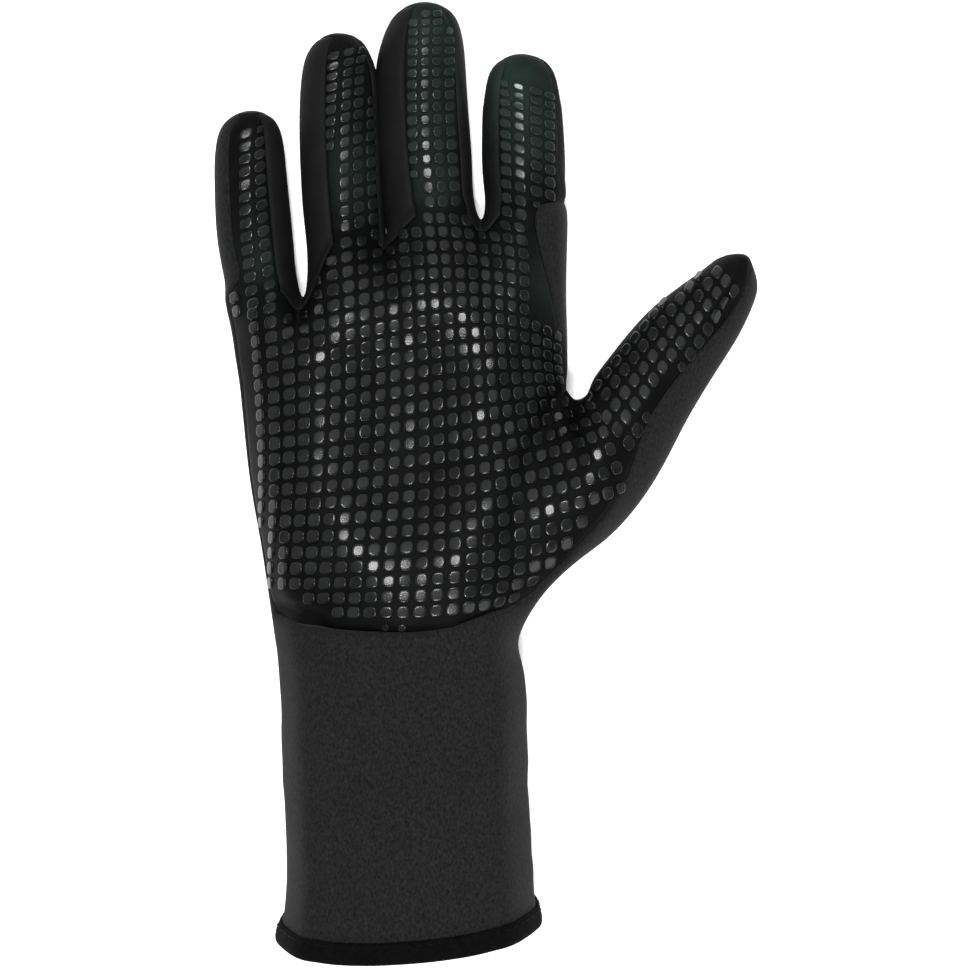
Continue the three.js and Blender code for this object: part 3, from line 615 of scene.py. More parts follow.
# Folds and dents that the surface gets on top of its cage. Each runs from one point to another on the palm
# side, so deep and so wide; a raised one has a negative depth. All in millimetres.
FOLDS = table("Fold", "x0 y0 x1 y1 depth width", [
    (47.5, 70, 52.5, 55, 2.2, 3.2),
    (52.5, 55, 50.5, 44, 1.0, 4.5),
    (94, 88, 104, 107, 1.1, 1.5),
    (-41, 5, -21, -0.5, 4.4, 3.6),
    (-21, -0.5, 0, -1.8, 1.6, 2.8),
    (0, -1.8, 24, 3.2, 1.1, 2.4),
    (24, 3.2, 42, 14, 0.8, 2.4),
    (-30, -14, 6, -20, 0.5, 5),
    (10, -34, 34, -28, 0.5, 6),
    (-34, -48, -8, -52, 0.45, 6),
    (12, -62, 36, -58, 0.5, 5),
    (-36, -74, -12, -80, 0.45, 5),
])
FOLD_END_FADE = 0.75
# How soon folds and eases come in as the surface turns upward
FOLD_FACING = 2.5
EASE_FACING = 3


def fold_depth(points, facing):
    """How far each point sinks, in millimetres, on the side that faces up."""
    depth = np.zeros(len(points))
    for fold in FOLDS:
        distance, share = distance_to_run(points, fold)
        fade = 1 - FOLD_END_FADE * np.abs(2 * share - 1) ** 3
        depth += fold.depth * fade * np.exp(-((distance / fold.width) ** 2) * 2)
    return depth * np.clip(facing * FOLD_FACING, 0, 1)


# The foam's swells and the cuff's ripples: how long they are on each axis and how high, in millimetres
SWELL_LENGTHS = np.array([26, 26, 26])
SWELL_HEIGHT = 0.35
RIPPLE_LENGTHS = np.array([30, 9, 30])
RIPPLE_HEIGHT = 0.55
RIPPLE_START = 25
# Near the hem nothing moves, so that the tape still fits
RIM_STILL = 8
RIM_FADE = 12


def unevenness(points):
    """Slow swells of the foam in millimetres, stronger on the cuff than on the hand."""
    swell, ripple = (
        np.array([noise.noise(Vector(p)) for p in points / lengths]) for lengths in (SWELL_LENGTHS, RIPPLE_LENGTHS)
    )
    on_cuff = np.clip(-points[:, 1] / RIPPLE_START, 0, 1)
    return SWELL_HEIGHT * swell + RIPPLE_HEIGHT * on_cuff * ripple


# Places where the palm is eased over a few centimetres: from one point to another, and how far to each side
EASES = table("Ease", "x0 y0 x1 y1 reach", [
    (31, 2, 36, 30, 15),
    (36, 30, 46, 48, 12),
])
EASE_PASSES = 60
EASE_SHARE = 0.5
# How steeply an ease fades out towards its reach
EASE_FALL = 1.5


def distance_to_run(points, run):
    """For each point, the distance in the plane to a run from one point to another, and its share along it."""
    start = np.array([run.x0, run.y0])
    way = np.array([run.x1, run.y1]) - start
    offset = points[:, :2] - start
    share = np.clip(offset @ way / (way @ way), 0, 1)
    return np.linalg.norm(offset - share[:, None] * way, axis=1), share


def ease(points, facing, edges):
    """Evens out the sharp valley between the ball of the thumb and the palm."""
    weight = np.zeros(len(points))
    for run in EASES:
        distance, _ = distance_to_run(points, run)
        weight = np.maximum(weight, np.clip(EASE_FALL - EASE_FALL * distance / run.reach, 0, 1))
    weight *= np.clip(facing * EASE_FACING, 0, 1) * EASE_SHARE
    ends = np.vstack([edges, edges[:, ::-1]])
    neighbours = np.bincount(ends[:, 0], minlength=len(points))
    for _ in range(EASE_PASSES):
        total = np.zeros_like(points)
        for axis in range(3):
            total[:, axis] = np.bincount(ends[:, 0], points[ends[:, 1], axis], len(points))
        points += weight[:, None] * (total / neighbours[:, None] - points)


def read(items, name, width=3, kind=float):
    """One property of all items, a row for each."""
    values = np.zeros(len(items) * width, kind)
    items.foreach_get(name, values)
    return values.reshape(-1, width)


def smooth_skin():
    """The glove's outer surface as a fine mesh; a face's material index names its panel."""
    holder = add_object("skin", to_mesh(grow_cage(), "skin"))
    smooth = holder.modifiers.new("smooth", "SUBSURF")
    smooth.levels = smooth.render_levels = SKIN_LEVELS
    depsgraph = bpy.context.evaluated_depsgraph_get()
    mesh = bpy.data.meshes.new_from_object(holder.evaluated_get(depsgraph))
    # The object goes with its mesh
    bpy.data.meshes.remove(holder.data)
    points = read(mesh.vertices, "co") / MM
    normals = read(mesh.vertex_normals, "vector")
    ease(points, normals[:, 2], read(mesh.edges, "vertices", 2, int))
    move = unevenness(points) - fold_depth(points, normals[:, 2])
    rim_fade = np.clip((points[:, 1] + CUFF_LENGTH - RIM_STILL) / RIM_FADE, 0, 1)
    points += normals * (move * rim_fade)[:, None]
    points[:, 2] = np.maximum(points[:, 2], 0)
    mesh.vertices.foreach_set("co", (points * MM).ravel())
    mesh.update()
    return mesh


# Painted sheen: where the rubber of the palm is painted brighter and green-tinted, as if it caught the light: centre
# and reach, in millimetres
SHEEN_PATCHES = table("Cast", "x y reach strength on_gusset", [
    (33, 170, 15, 1.0, True),
    (40, 150, 10, 0.5, False),
    (5, 184, 13, 0.8, False),
    (8, 155, 12, 0.45, False),
    (9, 135, 9, 0.5, False),
    (-17, 140, 11, 0.35, False),
    (-43, 112, 10, 0.35, False),
    (44, 108, 12, 0.3, False),
])


def paint_sheen_mask(mesh, on_gusset):
    """Stores the strength of the painted sheen, a brighter green tint, on each vertex."""
    places = read(mesh.vertices, "co")[:, :2] / MM
    strength = np.zeros(len(places))
    for sheen_paint in SHEEN_PATCHES:
        if on_gusset and not sheen_paint.on_gusset:
            continue
        offset = places - (sheen_paint.x, sheen_paint.y)
        strength += sheen_paint.strength * np.exp(-np.sum(offset * offset, axis=1) / sheen_paint.reach ** 2)
    layer = mesh.attributes.new("sheen_paint", "FLOAT", "POINT")
    layer.data.foreach_set("value", np.clip(strength, 0, 1))


# Materials

def add(tree, kind, links=None, **settings):
    """Adds a shader node. Settings name its properties or inputs, and links give an input its source."""
    node = tree.nodes.new("ShaderNode" + kind)
    for name, value in settings.items():
        if hasattr(node, name):
            setattr(node, name, value)
        else:
            node.inputs[name.replace("_", " ")].default_value = value
    for name, source in (links or {}).items():
        tree.links.new(source, node.inputs[name])
    return node


def new_material(name):
    material = bpy.data.materials.new(name)
    material.use_nodes = True
    tree = material.node_tree
    tree.nodes.clear()
    return material, tree


def rgba(value):
    return (*value, 1)


def surface(tree, colour_source, bump_source, strength, distance, **shading):
    """Joins a colour and a height to the one shader of a material."""
    bump = add(tree, "Bump", {"Height": bump_source}, Strength=strength, Distance=distance)
    links = {"Base Color": colour_source, "Normal": bump.outputs[0]}
    shader = add(tree, "BsdfPrincipled", links, **shading)
    add(tree, "OutputMaterial", {"Surface": shader.outputs[0]})


def texture(tree, kind, place_source=None, **settings):
    """The grey output of a texture, which lies in the object's own space unless it is given another place."""
    place_source = place_source or add(tree, "TexCoord").outputs["Object"]
    node = add(tree, "Tex" + kind, {"Vector": place_source}, **settings)
    return node.outputs["Distance" if kind == "Voronoi" else "Fac"]


def ramp(tree, source, low, high, start=0.35, end=0.65):
    node = add(tree, "ValToRGB", {"Fac": source})
    for element, position, value in zip(node.color_ramp.elements, (start, end), (low, high)):
        element.position = position
        element.color = rgba(value)
    return node.outputs["Color"]


def times(share, value):
    return [share * c for c in value]


def with_painted_sheen(tree, source, sheen_tint):
    """Mixes the painted sheen, a brighter green tint, into a colour, broken up by cloudy noise."""
    sheen_paint = add(tree, "Attribute", attribute_name="sheen_paint")
    clouds = texture(tree, "Noise", Scale=170, Detail=3)
    cloudy = add(tree, "MapRange", {"Value": clouds}, To_Min=0.4, To_Max=1.4)
    factors = {0: sheen_paint.outputs["Fac"], 1: cloudy.outputs[0]}
    share = add(tree, "Math", factors, operation="MULTIPLY", use_clamp=True)
    blend = add(tree, "MixRGB", {"Fac": share.outputs[0], "Color1": source}, Color2=rgba(sheen_tint))
    return blend.outputs[0]


def rubber(name, colours, low, high, wear, grain, strength, distance, **shading):
    """Two tones in patches under a painted, green-tinted sheen, with a fine grain. Wear and grain are each a scale
    and a detail.
    """
    material, tree = new_material(name)
    tones = ramp(tree, texture(tree, "Noise", Scale=wear[0], Detail=wear[1]), low, high)
    ground = with_painted_sheen(tree, tones, colours.palm_sheen_colour)
    surface(tree, ground, texture(tree, "Noise", Scale=grain[0], Detail=grain[1]), strength, distance, **shading)
    return material


def jersey_material(colours):
    """Heathered nylon jersey bonded to foam: two greys of yarn mixed along the wales, and a dull nap."""
    material, tree = new_material("Charcoal nylon jersey")
    place_source = add(tree, "TexCoord").outputs["Object"]
    # Yarns of about 0.3 mm would vanish at this scale, so the flecks are drawn 0.7 mm wide and 1.2 mm long
    fleck_place = add(tree, "Mapping", {"Vector": place_source}, Scale=(1400, 850, 1400)).outputs[0]
    flecks = texture(tree, "Noise", fleck_place, Scale=1, Detail=3, Roughness=0.7)
    yarn = ramp(tree, flecks, colours.jersey, colours.jersey_light, 0.32, 0.68)
    # Patches of a few centimetres where the nap lies differently
    patches = texture(tree, "Noise", Scale=45, Detail=2)
    shade = add(tree, "MapRange", {"Value": patches}, To_Min=0.86, To_Max=1.12)
    shaded = add(tree, "HueSaturation", {"Color": yarn, "Value": shade.outputs[0]})
    surface(
        tree, shaded.outputs[0], texture(tree, "Voronoi", Scale=1500), 0.35, 0.00012,
        Roughness=0.95, Specular_IOR_Level=0.08, Sheen_Weight=0.03, Sheen_Roughness=0.5,
    )
    return material


def palm_material(colours):
    """Embossed rubber skin of the palm: nearly black, a painted green-tinted sheen in places, and a low satin shine.
    """
    return rubber(
        "Embossed palm rubber", colours, colours.palm, times(1.5, colours.palm), (90, 3), (1400, 2),
        0.4, 0.00015, Roughness=0.5, Specular_IOR_Level=0.02,
    )


def gusset_material(colours):
    """Smooth-skinned foam rubber of the gussets, with the fine grain of its closed skin."""
    return rubber(
        "Smooth skin foam rubber", colours, colours.gusset, times(1.35, colours.gusset), (120, 4), (900, 3),
        0.3, 0.0001, Roughness=0.7, Specular_IOR_Level=0.08,
    )


def dot_material(colours):
    """Moulded rubber of the grip dots: smoother than its ground, so it catches small highlights."""
    return rubber(
        "Moulded grip rubber", colours, times(0.6, colours.dot), times(1.6, colours.dot), (160, 2), (1800, 1),
        0.2, 0.00008, Roughness=0.2, Specular_IOR_Level=0.14,
    )


def tape_material(colours):
    """Woven tape: fine ribs across its width and a dry, dark surface."""
    material, tree = new_material("Woven hem tape")
    fibre = texture(tree, "Noise", Scale=700, Detail=3)
    # Ribs of about 0.5 mm are drawn 0.9 mm apart, so that they hold at the picture's scale
    ribs = texture(tree, "Wave", Scale=1100, Distortion=2, Detail=1)
    ground = ramp(tree, fibre, colours.tape, times(2.2, colours.tape))
    surface(tree, ground, ribs, 0.4, 0.0002, Roughness=0.85, Specular_IOR_Level=0.04)
    return material


def thread_material(colours):
    """Twisted polyester thread, a little smoother than the tape it holds."""
    material, tree = new_material("Twisted polyester thread")
    twist = texture(tree, "Wave", Scale=900, bands_direction="DIAGONAL")
    ground = ramp(tree, twist, colours.thread, times(2, colours.thread), 0.2, 0.8)
    surface(tree, ground, twist, 0.5, 0.0001, Roughness=0.6, Specular_IOR_Level=0.05)
    return material


# Pieces

def point_tree(points):
    """Finds the nearest of many points."""
    tree = KDTree(len(points))
    for i, point in enumerate(points):
        tree.insert(point, i)
    tree.balance()
    return tree


def finish_piece(mesh, name, node, slot, material):
    """Makes an object of a finished mesh, gives it its body and its material, and hides its CAD node; the slot only
    chooses whether the mesh gets a painted sheen mask.
    """
    piece = add_object(name, mesh)
    mesh.materials.clear()
    mesh.materials.append(material)
    mesh.polygons.foreach_set("material_index", [0] * len(mesh.polygons))
    mesh.polygons.foreach_set("use_smooth", [True] * len(mesh.polygons))
    # The rubber pieces get the mask of their painted sheen
    if slot in ("palm_rubber", "gusset_neoprene"):
        paint_sheen_mask(mesh, slot == "gusset_neoprene")
    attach(piece, "root")
    if node:
        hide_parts(node)
    return piece


# How much shallower the seams are where they run over a fingertip
TIP_FADE = 0.85


def sink_edges(bm, sizes):
    """Sinks a panel towards its edge, so that two panels meet in a rounded valley."""
    bm.normal_update()
    edge = point_tree([v.co for v in bm.verts if v.is_boundary])
    moves = []
    for vert in bm.verts:
        share = math.exp(-((edge.find(vert.co)[2] / sizes.seam_width) ** 2))
        share *= 1 - TIP_FADE * max(0, vert.normal.y)
        if share > 0.01:
            moves.append((vert, vert.normal * -sizes.seam_depth * share))
    for vert, move in moves:
        vert.co += move


def panel_mesh(skin, index, sizes):
    """One sewn panel, cut out of the skin, with rolled edges."""
    bm = bmesh.new()
    bm.from_mesh(skin)
    others = [f for f in bm.faces if f.material_index != index]
    bmesh.ops.delete(bm, geom=others, context="FACES")
    sink_edges(bm, sizes)
    return to_mesh(bm, PANELS[index])


# The rectangle round each panel's flat cut, across and along the hand, in millimetres
PANEL_CUTS = [(250, 305), (170, 200), (22, 125), (20, 135), (20, 120)]


def make_panels(indexes, sizes, slot, material):
    """Makes the panels of one material, each with its foam thickness."""
    skin = smooth_skin()
    for index in indexes:
        mesh = panel_mesh(skin, index, sizes)
        piece = finish_piece(mesh, PANELS[index] + "_skin", PANELS[index], slot, material)
        [side * MM for side in PANEL_CUTS[index]]
        foam = piece.modifiers.new("foam", "SOLIDIFY")
        foam.thickness = sizes.wall
        foam.offset = -1
    bpy.data.meshes.remove(skin)


# The printed lattice of dots. On the palm, a row of the table gives where a row of the lattice crosses four of
# its columns. On a finger or the thumb, rows start at a distance from its root and tighten towards the tip.
LATTICE_COLUMNS = (-10, -3, 4, 11)
LATTICE_ROWS = table("LatticeRow", "row left inner_left inner_right right", [
    (-15, (-36.3, -1.2), (-4.9, -0.4), (28.1, 3.3), (46.8, 25.7)),
    (-10, (-36.1, 21.9), (-3.4, 23.2), (30.9, 26.7), (63.0, 34.1)),
    (-4, (-34.4, 50.8), (-2.4, 54.5), (28.4, 59.1), (54.3, 65.4)),
    (2, (-34.8, 79.6), (-2.5, 86.2), (26.1, 89.0), (50.7, 83.3)),
    (7, (-36.5, 102.8), (-3.6, 110.4), (25.1, 111.2), (53.0, 104.6)),
    (12, (-43.6, 125.0), (-5.8, 133.4), (20.6, 132.2), (54.9, 119.7)),
])
*FINGER_STRIPS, THUMB_STRIP = table("Strip", "start pitch tighten slope rows columns tip_columns", [
    (-3.0, 4.3, 0.022, 0.27, 14, (-8.6, -2.8, 3.0, 8.0), (-8.6, 0.2, 4.0, 8.0)),
    (0.6, 4.75, 0.06, 0.25, 16, (-3.5, 0.8, 5.3, 9.8), (-0.8, 3.8, 7.4, 10.8)),
    (-0.6, 4.75, 0.062, 0.02, 18, (-8.9, -4.9, -0.7, 3.4, 7.5), (-7.0, -2.6, 1.1, 4.5, 8.3)),
    (-0.9, 4.5, 0.08, -0.28, 12, (-5.6, -1.4, 3.3, 7.6), (-5.4, -1.1, 4.2, 8.4)),
    (
        -2.7, 4.77, 0, -0.28, 13,
        (-16, -12.4, -8.9, -4.7, 0, 5.1, 9.5), (-12, -8.6, -5.2, -1.5, 2.0, 5.8, 9.5),
    ),
])
# How far along a finger or the thumb its strip reaches the columns of its tip
STRIP_REACH = 56


def lagrange(nodes, t):
    """The weights with which values at the nodes give the value at t."""
    return np.array([math.prod((t - b) / (a - b) for b in nodes if b != a) for a in nodes])


# The palm's lattice ends above the wrist and below the fingers: from one Y to another for places left of an X
LATTICE_ENDS = [(-32, 11, 97), (-21, 5, 119), (-6, -10, 119), (38.5, -10, 125), (200, -10, 93.5)]
# Between these two lengths, in millimetres, a step of the lattice is good enough for a dot
SHORTEST_STEP = 2.5
LONGEST_STEP = 6.5
# The least upward part of the surface's direction at a dot
LEAST_UPWARD = 0.25


def palm_lattice():
    """The palm's dots: where each stands, and its steps to the next column and the next row."""
    crossings = np.array([row[1:] for row in LATTICE_ROWS])
    rows = [row.row for row in LATTICE_ROWS]

    def at(column, row):
        return lagrange(rows, row) @ np.einsum("c,rcx->rx", lagrange(LATTICE_COLUMNS, column), crossings)

    for row in range(-17, 13):
        for column in range(-12, 13):
            # The heel's outer corner has no dots
            if row < -9 and column > row + 19:
                continue
            x, y = at(column, row)
            over = at(column + 0.5, row) - at(column - 0.5, row)
            onward = at(column, row + 0.5) - at(column, row - 0.5)
            steps = [np.hypot(*over), np.hypot(*onward)]
            low, high = next(ends[1:] for ends in LATTICE_ENDS if x < ends[0])
            if low < y < high and min(steps) > SHORTEST_STEP and max(steps) < LONGEST_STEP:
                yield (x, y), over, onward


def strip_lattice(strip, centre, across):
    """The same for rows of dots across a finger, which tighten towards its tip."""

    def at(column, row):
        distance = strip.start + strip.pitch * row - strip.tighten * row * row
        share = min(1, max(0, distance / STRIP_REACH))
        side = mix(strip.columns[column], strip.tip_columns[column], share)
        return np.array(centre(distance + strip.slope * side)[:2]) + across * side

    last = len(strip.columns) - 1
    for row in range(strip.rows):
        for column in range(last + 1):
            low, high = max(0, column - 1), min(last, column + 1)
            over = (at(high, row) - at(low, row)) / (high - low)
            yield at(column, row), over, at(column, row + 0.5) - at(column, row - 0.5)


def dot_places(sizes, palm):
    """Where dots stand on the palm panel, clear of its edge and of each other: point, normal, steps and room."""
    bm = bmesh.new()
    bm.from_mesh(palm)
    tree = BVHTree.FromBMesh(bm)
    edge = point_tree([v.co for v in bm.verts if v.is_boundary])
    bm.free()
    candidates = [*palm_lattice()]
    candidates += strip_lattice(THUMB_STRIP, lambda along: THUMB_ROOT + THUMB_AXIS * along, THUMB_OUT)
    for k, strip in enumerate(FINGER_STRIPS):
        finger = FingerFrame(k)
        candidates += strip_lattice(strip, finger.centre, finger.across)
    places = []
    for (x, y), over, onward in candidates:
        # Straight down from well above the palm
        hit, normal, _, _ = tree.ray_cast(Vector((x * MM, y * MM, 0.2)), Vector((0, 0, -1)))
        if hit is None or normal.z < LEAST_UPWARD:
            continue
        room = edge.find(hit)[2]
        if room < sizes.dot_margin or any((hit - other[0]).length < sizes.dot_spacing for other in places):
            continue
        places.append((hit, normal, over, onward, room))
    return places


# The outline of a dot from its sunk foot to its flat top: reach from the middle and height, in shares
DOT_PROFILE = [(1.02, -0.5), (1.0, 0.35), (0.94, 0.82), (0.84, 0.98), (0.6, 1.0)]
# Its outline is a circle of so many corners, pressed a little towards a square
DOT_CORNERS = 12
DOT_SQUARENESS = 3.4
DOT_SEED = 7
# The least and the most that a dot's side is stretched by chance
DOT_CHANCE = (0.95, 1.03)


def dot_shape(sizes):
    """One low pad with a flat top and a narrow shoulder, which each dot stretches along its two steps."""
    outline = []
    for i in range(DOT_CORNERS):
        x, y = math.sin(math.tau * i / DOT_CORNERS), math.cos(math.tau * i / DOT_CORNERS)
        reach = (abs(x) ** DOT_SQUARENESS + abs(y) ** DOT_SQUARENESS) ** (-1 / DOT_SQUARENESS)
        outline.append((x * reach, y * reach))
    bm = bmesh.new()
    _, top = sweep(bm, [
        [(x * share, y * share, height * sizes.dot_height) for x, y in outline] for share, height in DOT_PROFILE
    ])
    bmesh.ops.contextual_create(bm, geom=top)
    bmesh.ops.recalc_face_normals(bm, faces=bm.faces)
    return to_mesh(bm, "dot")


def repeated(shape, matrices, name):
    """One mesh of many placed copies of a shape."""
    bm = bmesh.new()
    for matrix in matrices:
        copy = shape.copy()
        copy.transform(matrix)
        bm.from_mesh(copy)
        bpy.data.meshes.remove(copy)
    return to_mesh(bm, name)


# Half of the folded hem tape's section, as heights up the cuff and distances out of it, in shares of the
# tape's height and thickness
TAPE_SECTION = [
    (1.0, 0.15), (1.02, 0.7), (0.97, 1.05), (0.75, 1.35), (0.45, 1.55), (0.15, 1.5), (-0.05, 1.2), (-0.18, 0.65),
]
TAPE_FOLD = -0.24
# The tape's inner face is pressed into the foam: from one height up the cuff to another, and by a share of the wall
TAPE_GRIP_HEIGHTS = (0.04, 1)
TAPE_GRIP = 0.05
# Where the stitches lie on the tape, in the same shares, and how long one is against its pitch
STITCH_HEIGHT = 0.78
STITCH_OUT = 1.3
STITCH_LENGTH = 0.84


def rim_frames():
    """For each point of the cuff's rim, in order: its place and the directions up the cuff and out of it."""
    skin = smooth_skin()
    bm = bmesh.new()
    bm.from_mesh(skin)
    bpy.data.meshes.remove(skin)
    bm.normal_update()
    loop = [*next(e for e in bm.edges if e.is_boundary).verts]
    while loop[0] is not loop[-1]:
        loop.append(next(
            e.other_vert(loop[-1]) for e in loop[-1].link_edges
            if e.is_boundary and e.other_vert(loop[-1]) is not loop[-2]
        ))
    loop.pop()
    frames = []
    for i, vert in enumerate(loop):
        run = loop[(i + 1) % len(loop)].co - loop[i - 1].co
        out = vert.normal.copy()
        up = run.cross(out).normalized()
        if up.y < 0:
            up = -up
        frames.append((vert.co.copy(), up, out))
    bm.free()
    return frames


def rim_steps(frames):
    """The steps from each point of the rim to the next one."""
    return [frames[(i + 1) % len(frames)][0] - foot for i, (foot, _, _) in enumerate(frames)]


def tape_mesh(frames, sizes):
    """The hem tape, folded over the cuff's rim: its outer face round the fold, and its inner face on the foam."""
    thick, high, wall = sizes.tape_thickness, sizes.tape_height, sizes.wall
    section = [(up * high, out * thick) for up, out in TAPE_SECTION]
    section.append((TAPE_FOLD * high, -wall / 2))
    section += [(up * high, -wall - out * thick) for up, out in reversed(TAPE_SECTION)]
    low, top = (share * high for share in TAPE_GRIP_HEIGHTS)
    outside, inside = -TAPE_GRIP * wall, -(1 - TAPE_GRIP) * wall
    section += [(top, inside), (low, inside), (low, outside), (top, outside)]
    bm = bmesh.new()
    rows = [[foot + up * height + out * away for foot, up, out in frames] for height, away in section]
    first, last = sweep(bm, rows)
    bmesh.ops.bridge_loops(bm, edges=edges_of(bm, first) + edges_of(bm, last))
    for v in bm.verts:
        v.co.z = max(v.co.z, 0)
    bmesh.ops.recalc_face_normals(bm, faces=bm.faces)
    return to_mesh(bm, "hem_tape")


def stitch_shape(sizes):
    """One lock stitch, a short bead of thread with sunk ends, along X."""
    bm = bmesh.new()
    bmesh.ops.create_uvsphere(bm, u_segments=8, v_segments=6, radius=1)
    bmesh.ops.rotate(bm, verts=bm.verts, matrix=Matrix.Rotation(math.pi / 2, 3, "Y"))
    half = STITCH_LENGTH / 2 * sizes.stitch_pitch
    bmesh.ops.scale(bm, vec=(half, sizes.thread_radius, sizes.thread_radius), verts=bm.verts)
    return to_mesh(bm, "stitch")


def stitch_matrices(frames, sizes):
    """Where the stitches lie: a whole number of them, evenly round the rim."""
    steps = rim_steps(frames)
    rim = sum(step.length for step in steps)
    count = round(rim / sizes.stitch_pitch)
    walked, target, matrices = 0, 0, []
    for (foot, up, out), step in zip(frames, steps):
        while target < walked + step.length and len(matrices) < count:
            base = foot + step * ((target - walked) / step.length)
            matrix = Matrix((up.cross(out).normalized(), up, out)).transposed().to_4x4()
            matrix.translation = (
                base + up * sizes.tape_height * STITCH_HEIGHT + out * (sizes.tape_thickness * STITCH_OUT)
            )
            matrices.append(matrix)
            target += rim / count
        walked += step.length
    return matrices


# Operators and the panel

class GloveOperator:
    bl_options = {"REGISTER", "UNDO"}

    def execute(self, context):
        self.build(context.scene.glove_sizes, context.scene.glove_colours)
        return {"FINISHED"}


class GLOVE_OT_back_and_cuff(GloveOperator, bpy.types.Operator):
    """Make the jersey-faced back, the cuff and the outer strips"""

    bl_idname = "glove.back_and_cuff"
    bl_label = "Back and Cuff"

    def build(self, sizes, colours):
        make_panels([BACK], sizes, "jersey_neoprene", jersey_material(colours))


class GLOVE_OT_palm_panel(GloveOperator, bpy.types.Operator):
    """Make the rubber palm panel, without its dots"""

    bl_idname = "glove.palm_panel"
    bl_label = "Palm Panel"

    def build(self, sizes, colours):
        make_panels([PALM], sizes, "palm_rubber", palm_material(colours))


class GLOVE_OT_gussets(GloveOperator, bpy.types.Operator):
    """Make the three gussets between the fingers"""

    bl_idname = "glove.gussets"
    bl_label = "Finger Gussets"

    def build(self, sizes, colours):
        make_panels(range(FIRST_GUSSET, len(PANELS)), sizes, "gusset_neoprene", gusset_material(colours))


class GLOVE_OT_grip_dots(GloveOperator, bpy.types.Operator):
    """Stand the lattice of moulded grip dots on the palm panel"""

    bl_idname = "glove.grip_dots"
    bl_label = "Grip Dots"

    def build(self, sizes, colours):
        places = dot_places(sizes, bpy.data.objects["palm_panel_skin"].data)
        if not places:
            raise RuntimeError("No dot found a place on the palm panel")
        chance = random.Random(DOT_SEED)
        matrices = []
        for point, normal, over, onward, room in places:
            # No dot is set quite like its neighbour, so that each catches the light in its own way
            lean = Vector((chance.gauss(0, 1), chance.gauss(0, 1), 0)) * sizes.dot_lean
            up = (normal + lean).normalized()
            sides = []
            for step in (over, onward):
                # The lattice is given in plan, so a step climbs with the surface
                side = Vector((*step, -(up.x * step[0] + up.y * step[1]) / up.z))
                side *= MM * sizes.dot_share * chance.uniform(*DOT_CHANCE)
                # A dot by a seam is smaller, so that it stays clear of the seam
                side *= min(1, sizes.dot_reach / side.length, (room - sizes.dot_clear) / side.length)
                sides.append(side)
            matrices.append(Matrix.Translation(point) @ Matrix((*sides, up)).transposed().to_4x4())
        mesh = repeated(dot_shape(sizes), matrices, "grip_dots")
        finish_piece(mesh, "grip_dots", None, "palm_rubber", dot_material(colours))


class GLOVE_OT_hem_tape(GloveOperator, bpy.types.Operator):
    """Fold the tape over the cuff's hem and sew it down"""

    bl_idname = "glove.hem_tape"
    bl_label = "Hem Tape"

    def build(self, sizes, colours):
        frames = rim_frames()
        mesh = tape_mesh(frames, sizes)
        piece = finish_piece(mesh, "hem_tape_folded", "hem_tape", "hem_tape", tape_material(colours))
        smooth = piece.modifiers.new("smooth", "SUBSURF")
        smooth.levels = smooth.render_levels = 1
        mesh = repeated(stitch_shape(sizes), stitch_matrices(frames, sizes), "hem_stitches")
        stitches = finish_piece(mesh, "hem_stitches", None, "hem_tape", thread_material(colours))


class GLOVE_OT_stage(bpy.types.Operator):
    """Set the pale floor, the soft studio light and the camera"""

    bl_idname = "glove.stage"
    bl_label = "Stage"
    bl_options = {"REGISTER", "UNDO"}

    def execute(self, context):
        settings = context.scene.glove_stage
        make_floor(settings)
        make_lights(settings)
        make_camera(settings)
        return {"FINISHED"}


def make_floor(settings):
    """Matte white paper, which gives off a little light so that shadows on it stay faint."""
    bm = bmesh.new()
    bmesh.ops.create_grid(bm, x_segments=2, y_segments=2, size=3)
    floor = add_object("floor", to_mesh(bm, "floor"))
    material, tree = new_material("Matte white paper")
    paper = rgba(settings.floor)
    shader = add(
        tree, "BsdfPrincipled", Base_Color=paper, Roughness=1, Specular_IOR_Level=0,
        Emission_Color=paper, Emission_Strength=settings.floor_glow,
    )
    add(tree, "OutputMaterial", {"Surface": shader.outputs[0]})
    floor.data.materials.append(material)
    floor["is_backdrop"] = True


# Soft boxes: where each hangs (metres), its size, and its power
SOFT_BOXES = table("SoftBox", "name place size power", [
    ("softbox_key", (0.02, -0.36, 1.2), 0.14, 12),
    ("softbox_fingers", (-0.06, 0.32, 1.2), 0.17, 9),
    ("softbox_top", (0.1, 1.05, 0.95), 1.2, 8),
    ("softbox_left", (-1.1, 0.2, 0.95), 1.3, 4.5),
    ("softbox_low_right", (0.8, -0.85, 0.9), 0.7, 9),
])
LIGHT_TARGET = Vector((0.02, 0.04, 0.02))


def make_lights(settings):
    for box in SOFT_BOXES:
        light = bpy.data.lights.new(box.name, "AREA")
        light.shape = "SQUARE"
        light.size = box.size
        light.energy = box.power
        lamp = add_object(box.name, light)
        lamp.location = box.place
        lamp.rotation_euler = (LIGHT_TARGET - lamp.location).to_track_quat("-Z", "Y").to_euler()
    world = bpy.data.worlds.new("studio")
    world.use_nodes = True
    backdrop = world.node_tree.nodes["Background"]
    backdrop.inputs["Color"].default_value = (1, 1, 1, 1)
    backdrop.inputs["Strength"].default_value = settings.sky
    bpy.context.scene.world = world
    bpy.context.scene.view_settings.view_transform = "Standard"


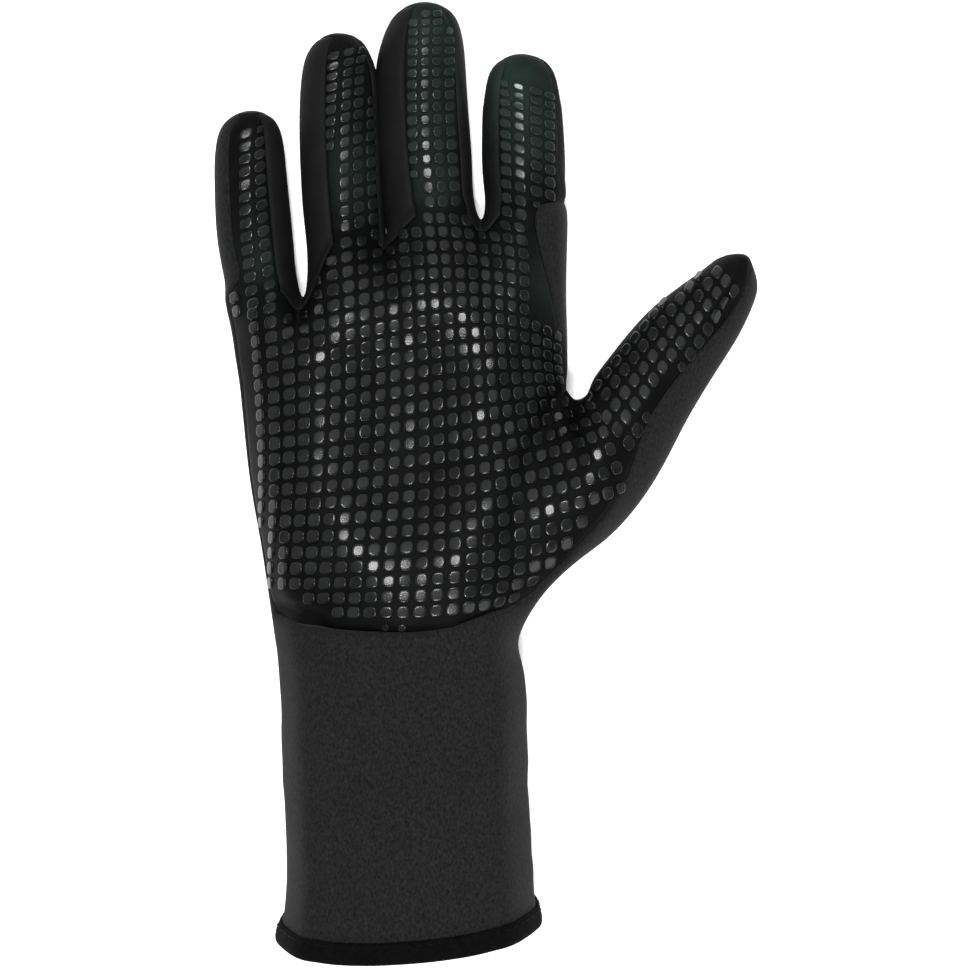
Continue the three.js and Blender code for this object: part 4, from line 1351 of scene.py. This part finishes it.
def make_camera(settings):
    data = bpy.data.cameras.new("camera")
    data.sensor_fit = "HORIZONTAL"
    data.sensor_width = 36
    data.lens = settings.focal_length
    camera = add_object("camera", data)
    camera.location = (settings.camera_x, settings.camera_y, settings.camera_height)
    bpy.context.scene.camera = camera


OPERATORS = [
    GLOVE_OT_back_and_cuff,
    GLOVE_OT_palm_panel,
    GLOVE_OT_gussets,
    GLOVE_OT_grip_dots,
    GLOVE_OT_hem_tape,
    GLOVE_OT_stage,
]


class GLOVE_PT_sidebar(bpy.types.Panel):
    """Lists the glove's pieces and sizes in the 3D view's sidebar"""

    bl_idname = "GLOVE_PT_sidebar"
    bl_label = "Diving Glove"
    bl_space_type = "VIEW_3D"
    bl_region_type = "UI"
    bl_category = "Glove"

    def draw(self, context):
        for operator in OPERATORS:
            self.layout.operator(operator.bl_idname)
        for group in (context.scene.glove_sizes, context.scene.glove_colours, context.scene.glove_stage):
            box = self.layout.box()
            for name in group.bl_rna.properties.keys():
                if name not in ("rna_type", "name"):
                    box.prop(group, name)


CLASSES = [GloveSizes, GloveColours, GloveStage, *OPERATORS, GLOVE_PT_sidebar]


def register():
    for cls in CLASSES:
        bpy.utils.register_class(cls)
    bpy.types.Scene.glove_sizes = PointerProperty(type=GloveSizes)
    bpy.types.Scene.glove_colours = PointerProperty(type=GloveColours)
    bpy.types.Scene.glove_stage = PointerProperty(type=GloveStage)


def unregister():
    del bpy.types.Scene.glove_stage
    del bpy.types.Scene.glove_colours
    del bpy.types.Scene.glove_sizes
    for cls in reversed(CLASSES):
        bpy.utils.unregister_class(cls)


def write_size():
    boxes = {"frame": frame_box, "visual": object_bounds()}
    {name: [list(corner) for corner in box] for name, box in boxes.items()}


def main():
    register()
    bpy.ops.glove.back_and_cuff()
    bpy.ops.glove.palm_panel()
    bpy.ops.glove.gussets()
    bpy.ops.glove.grip_dots()
    bpy.ops.glove.hem_tape()
    bpy.ops.glove.stage()
    write_size()


if __name__ == "__main__":
    main()
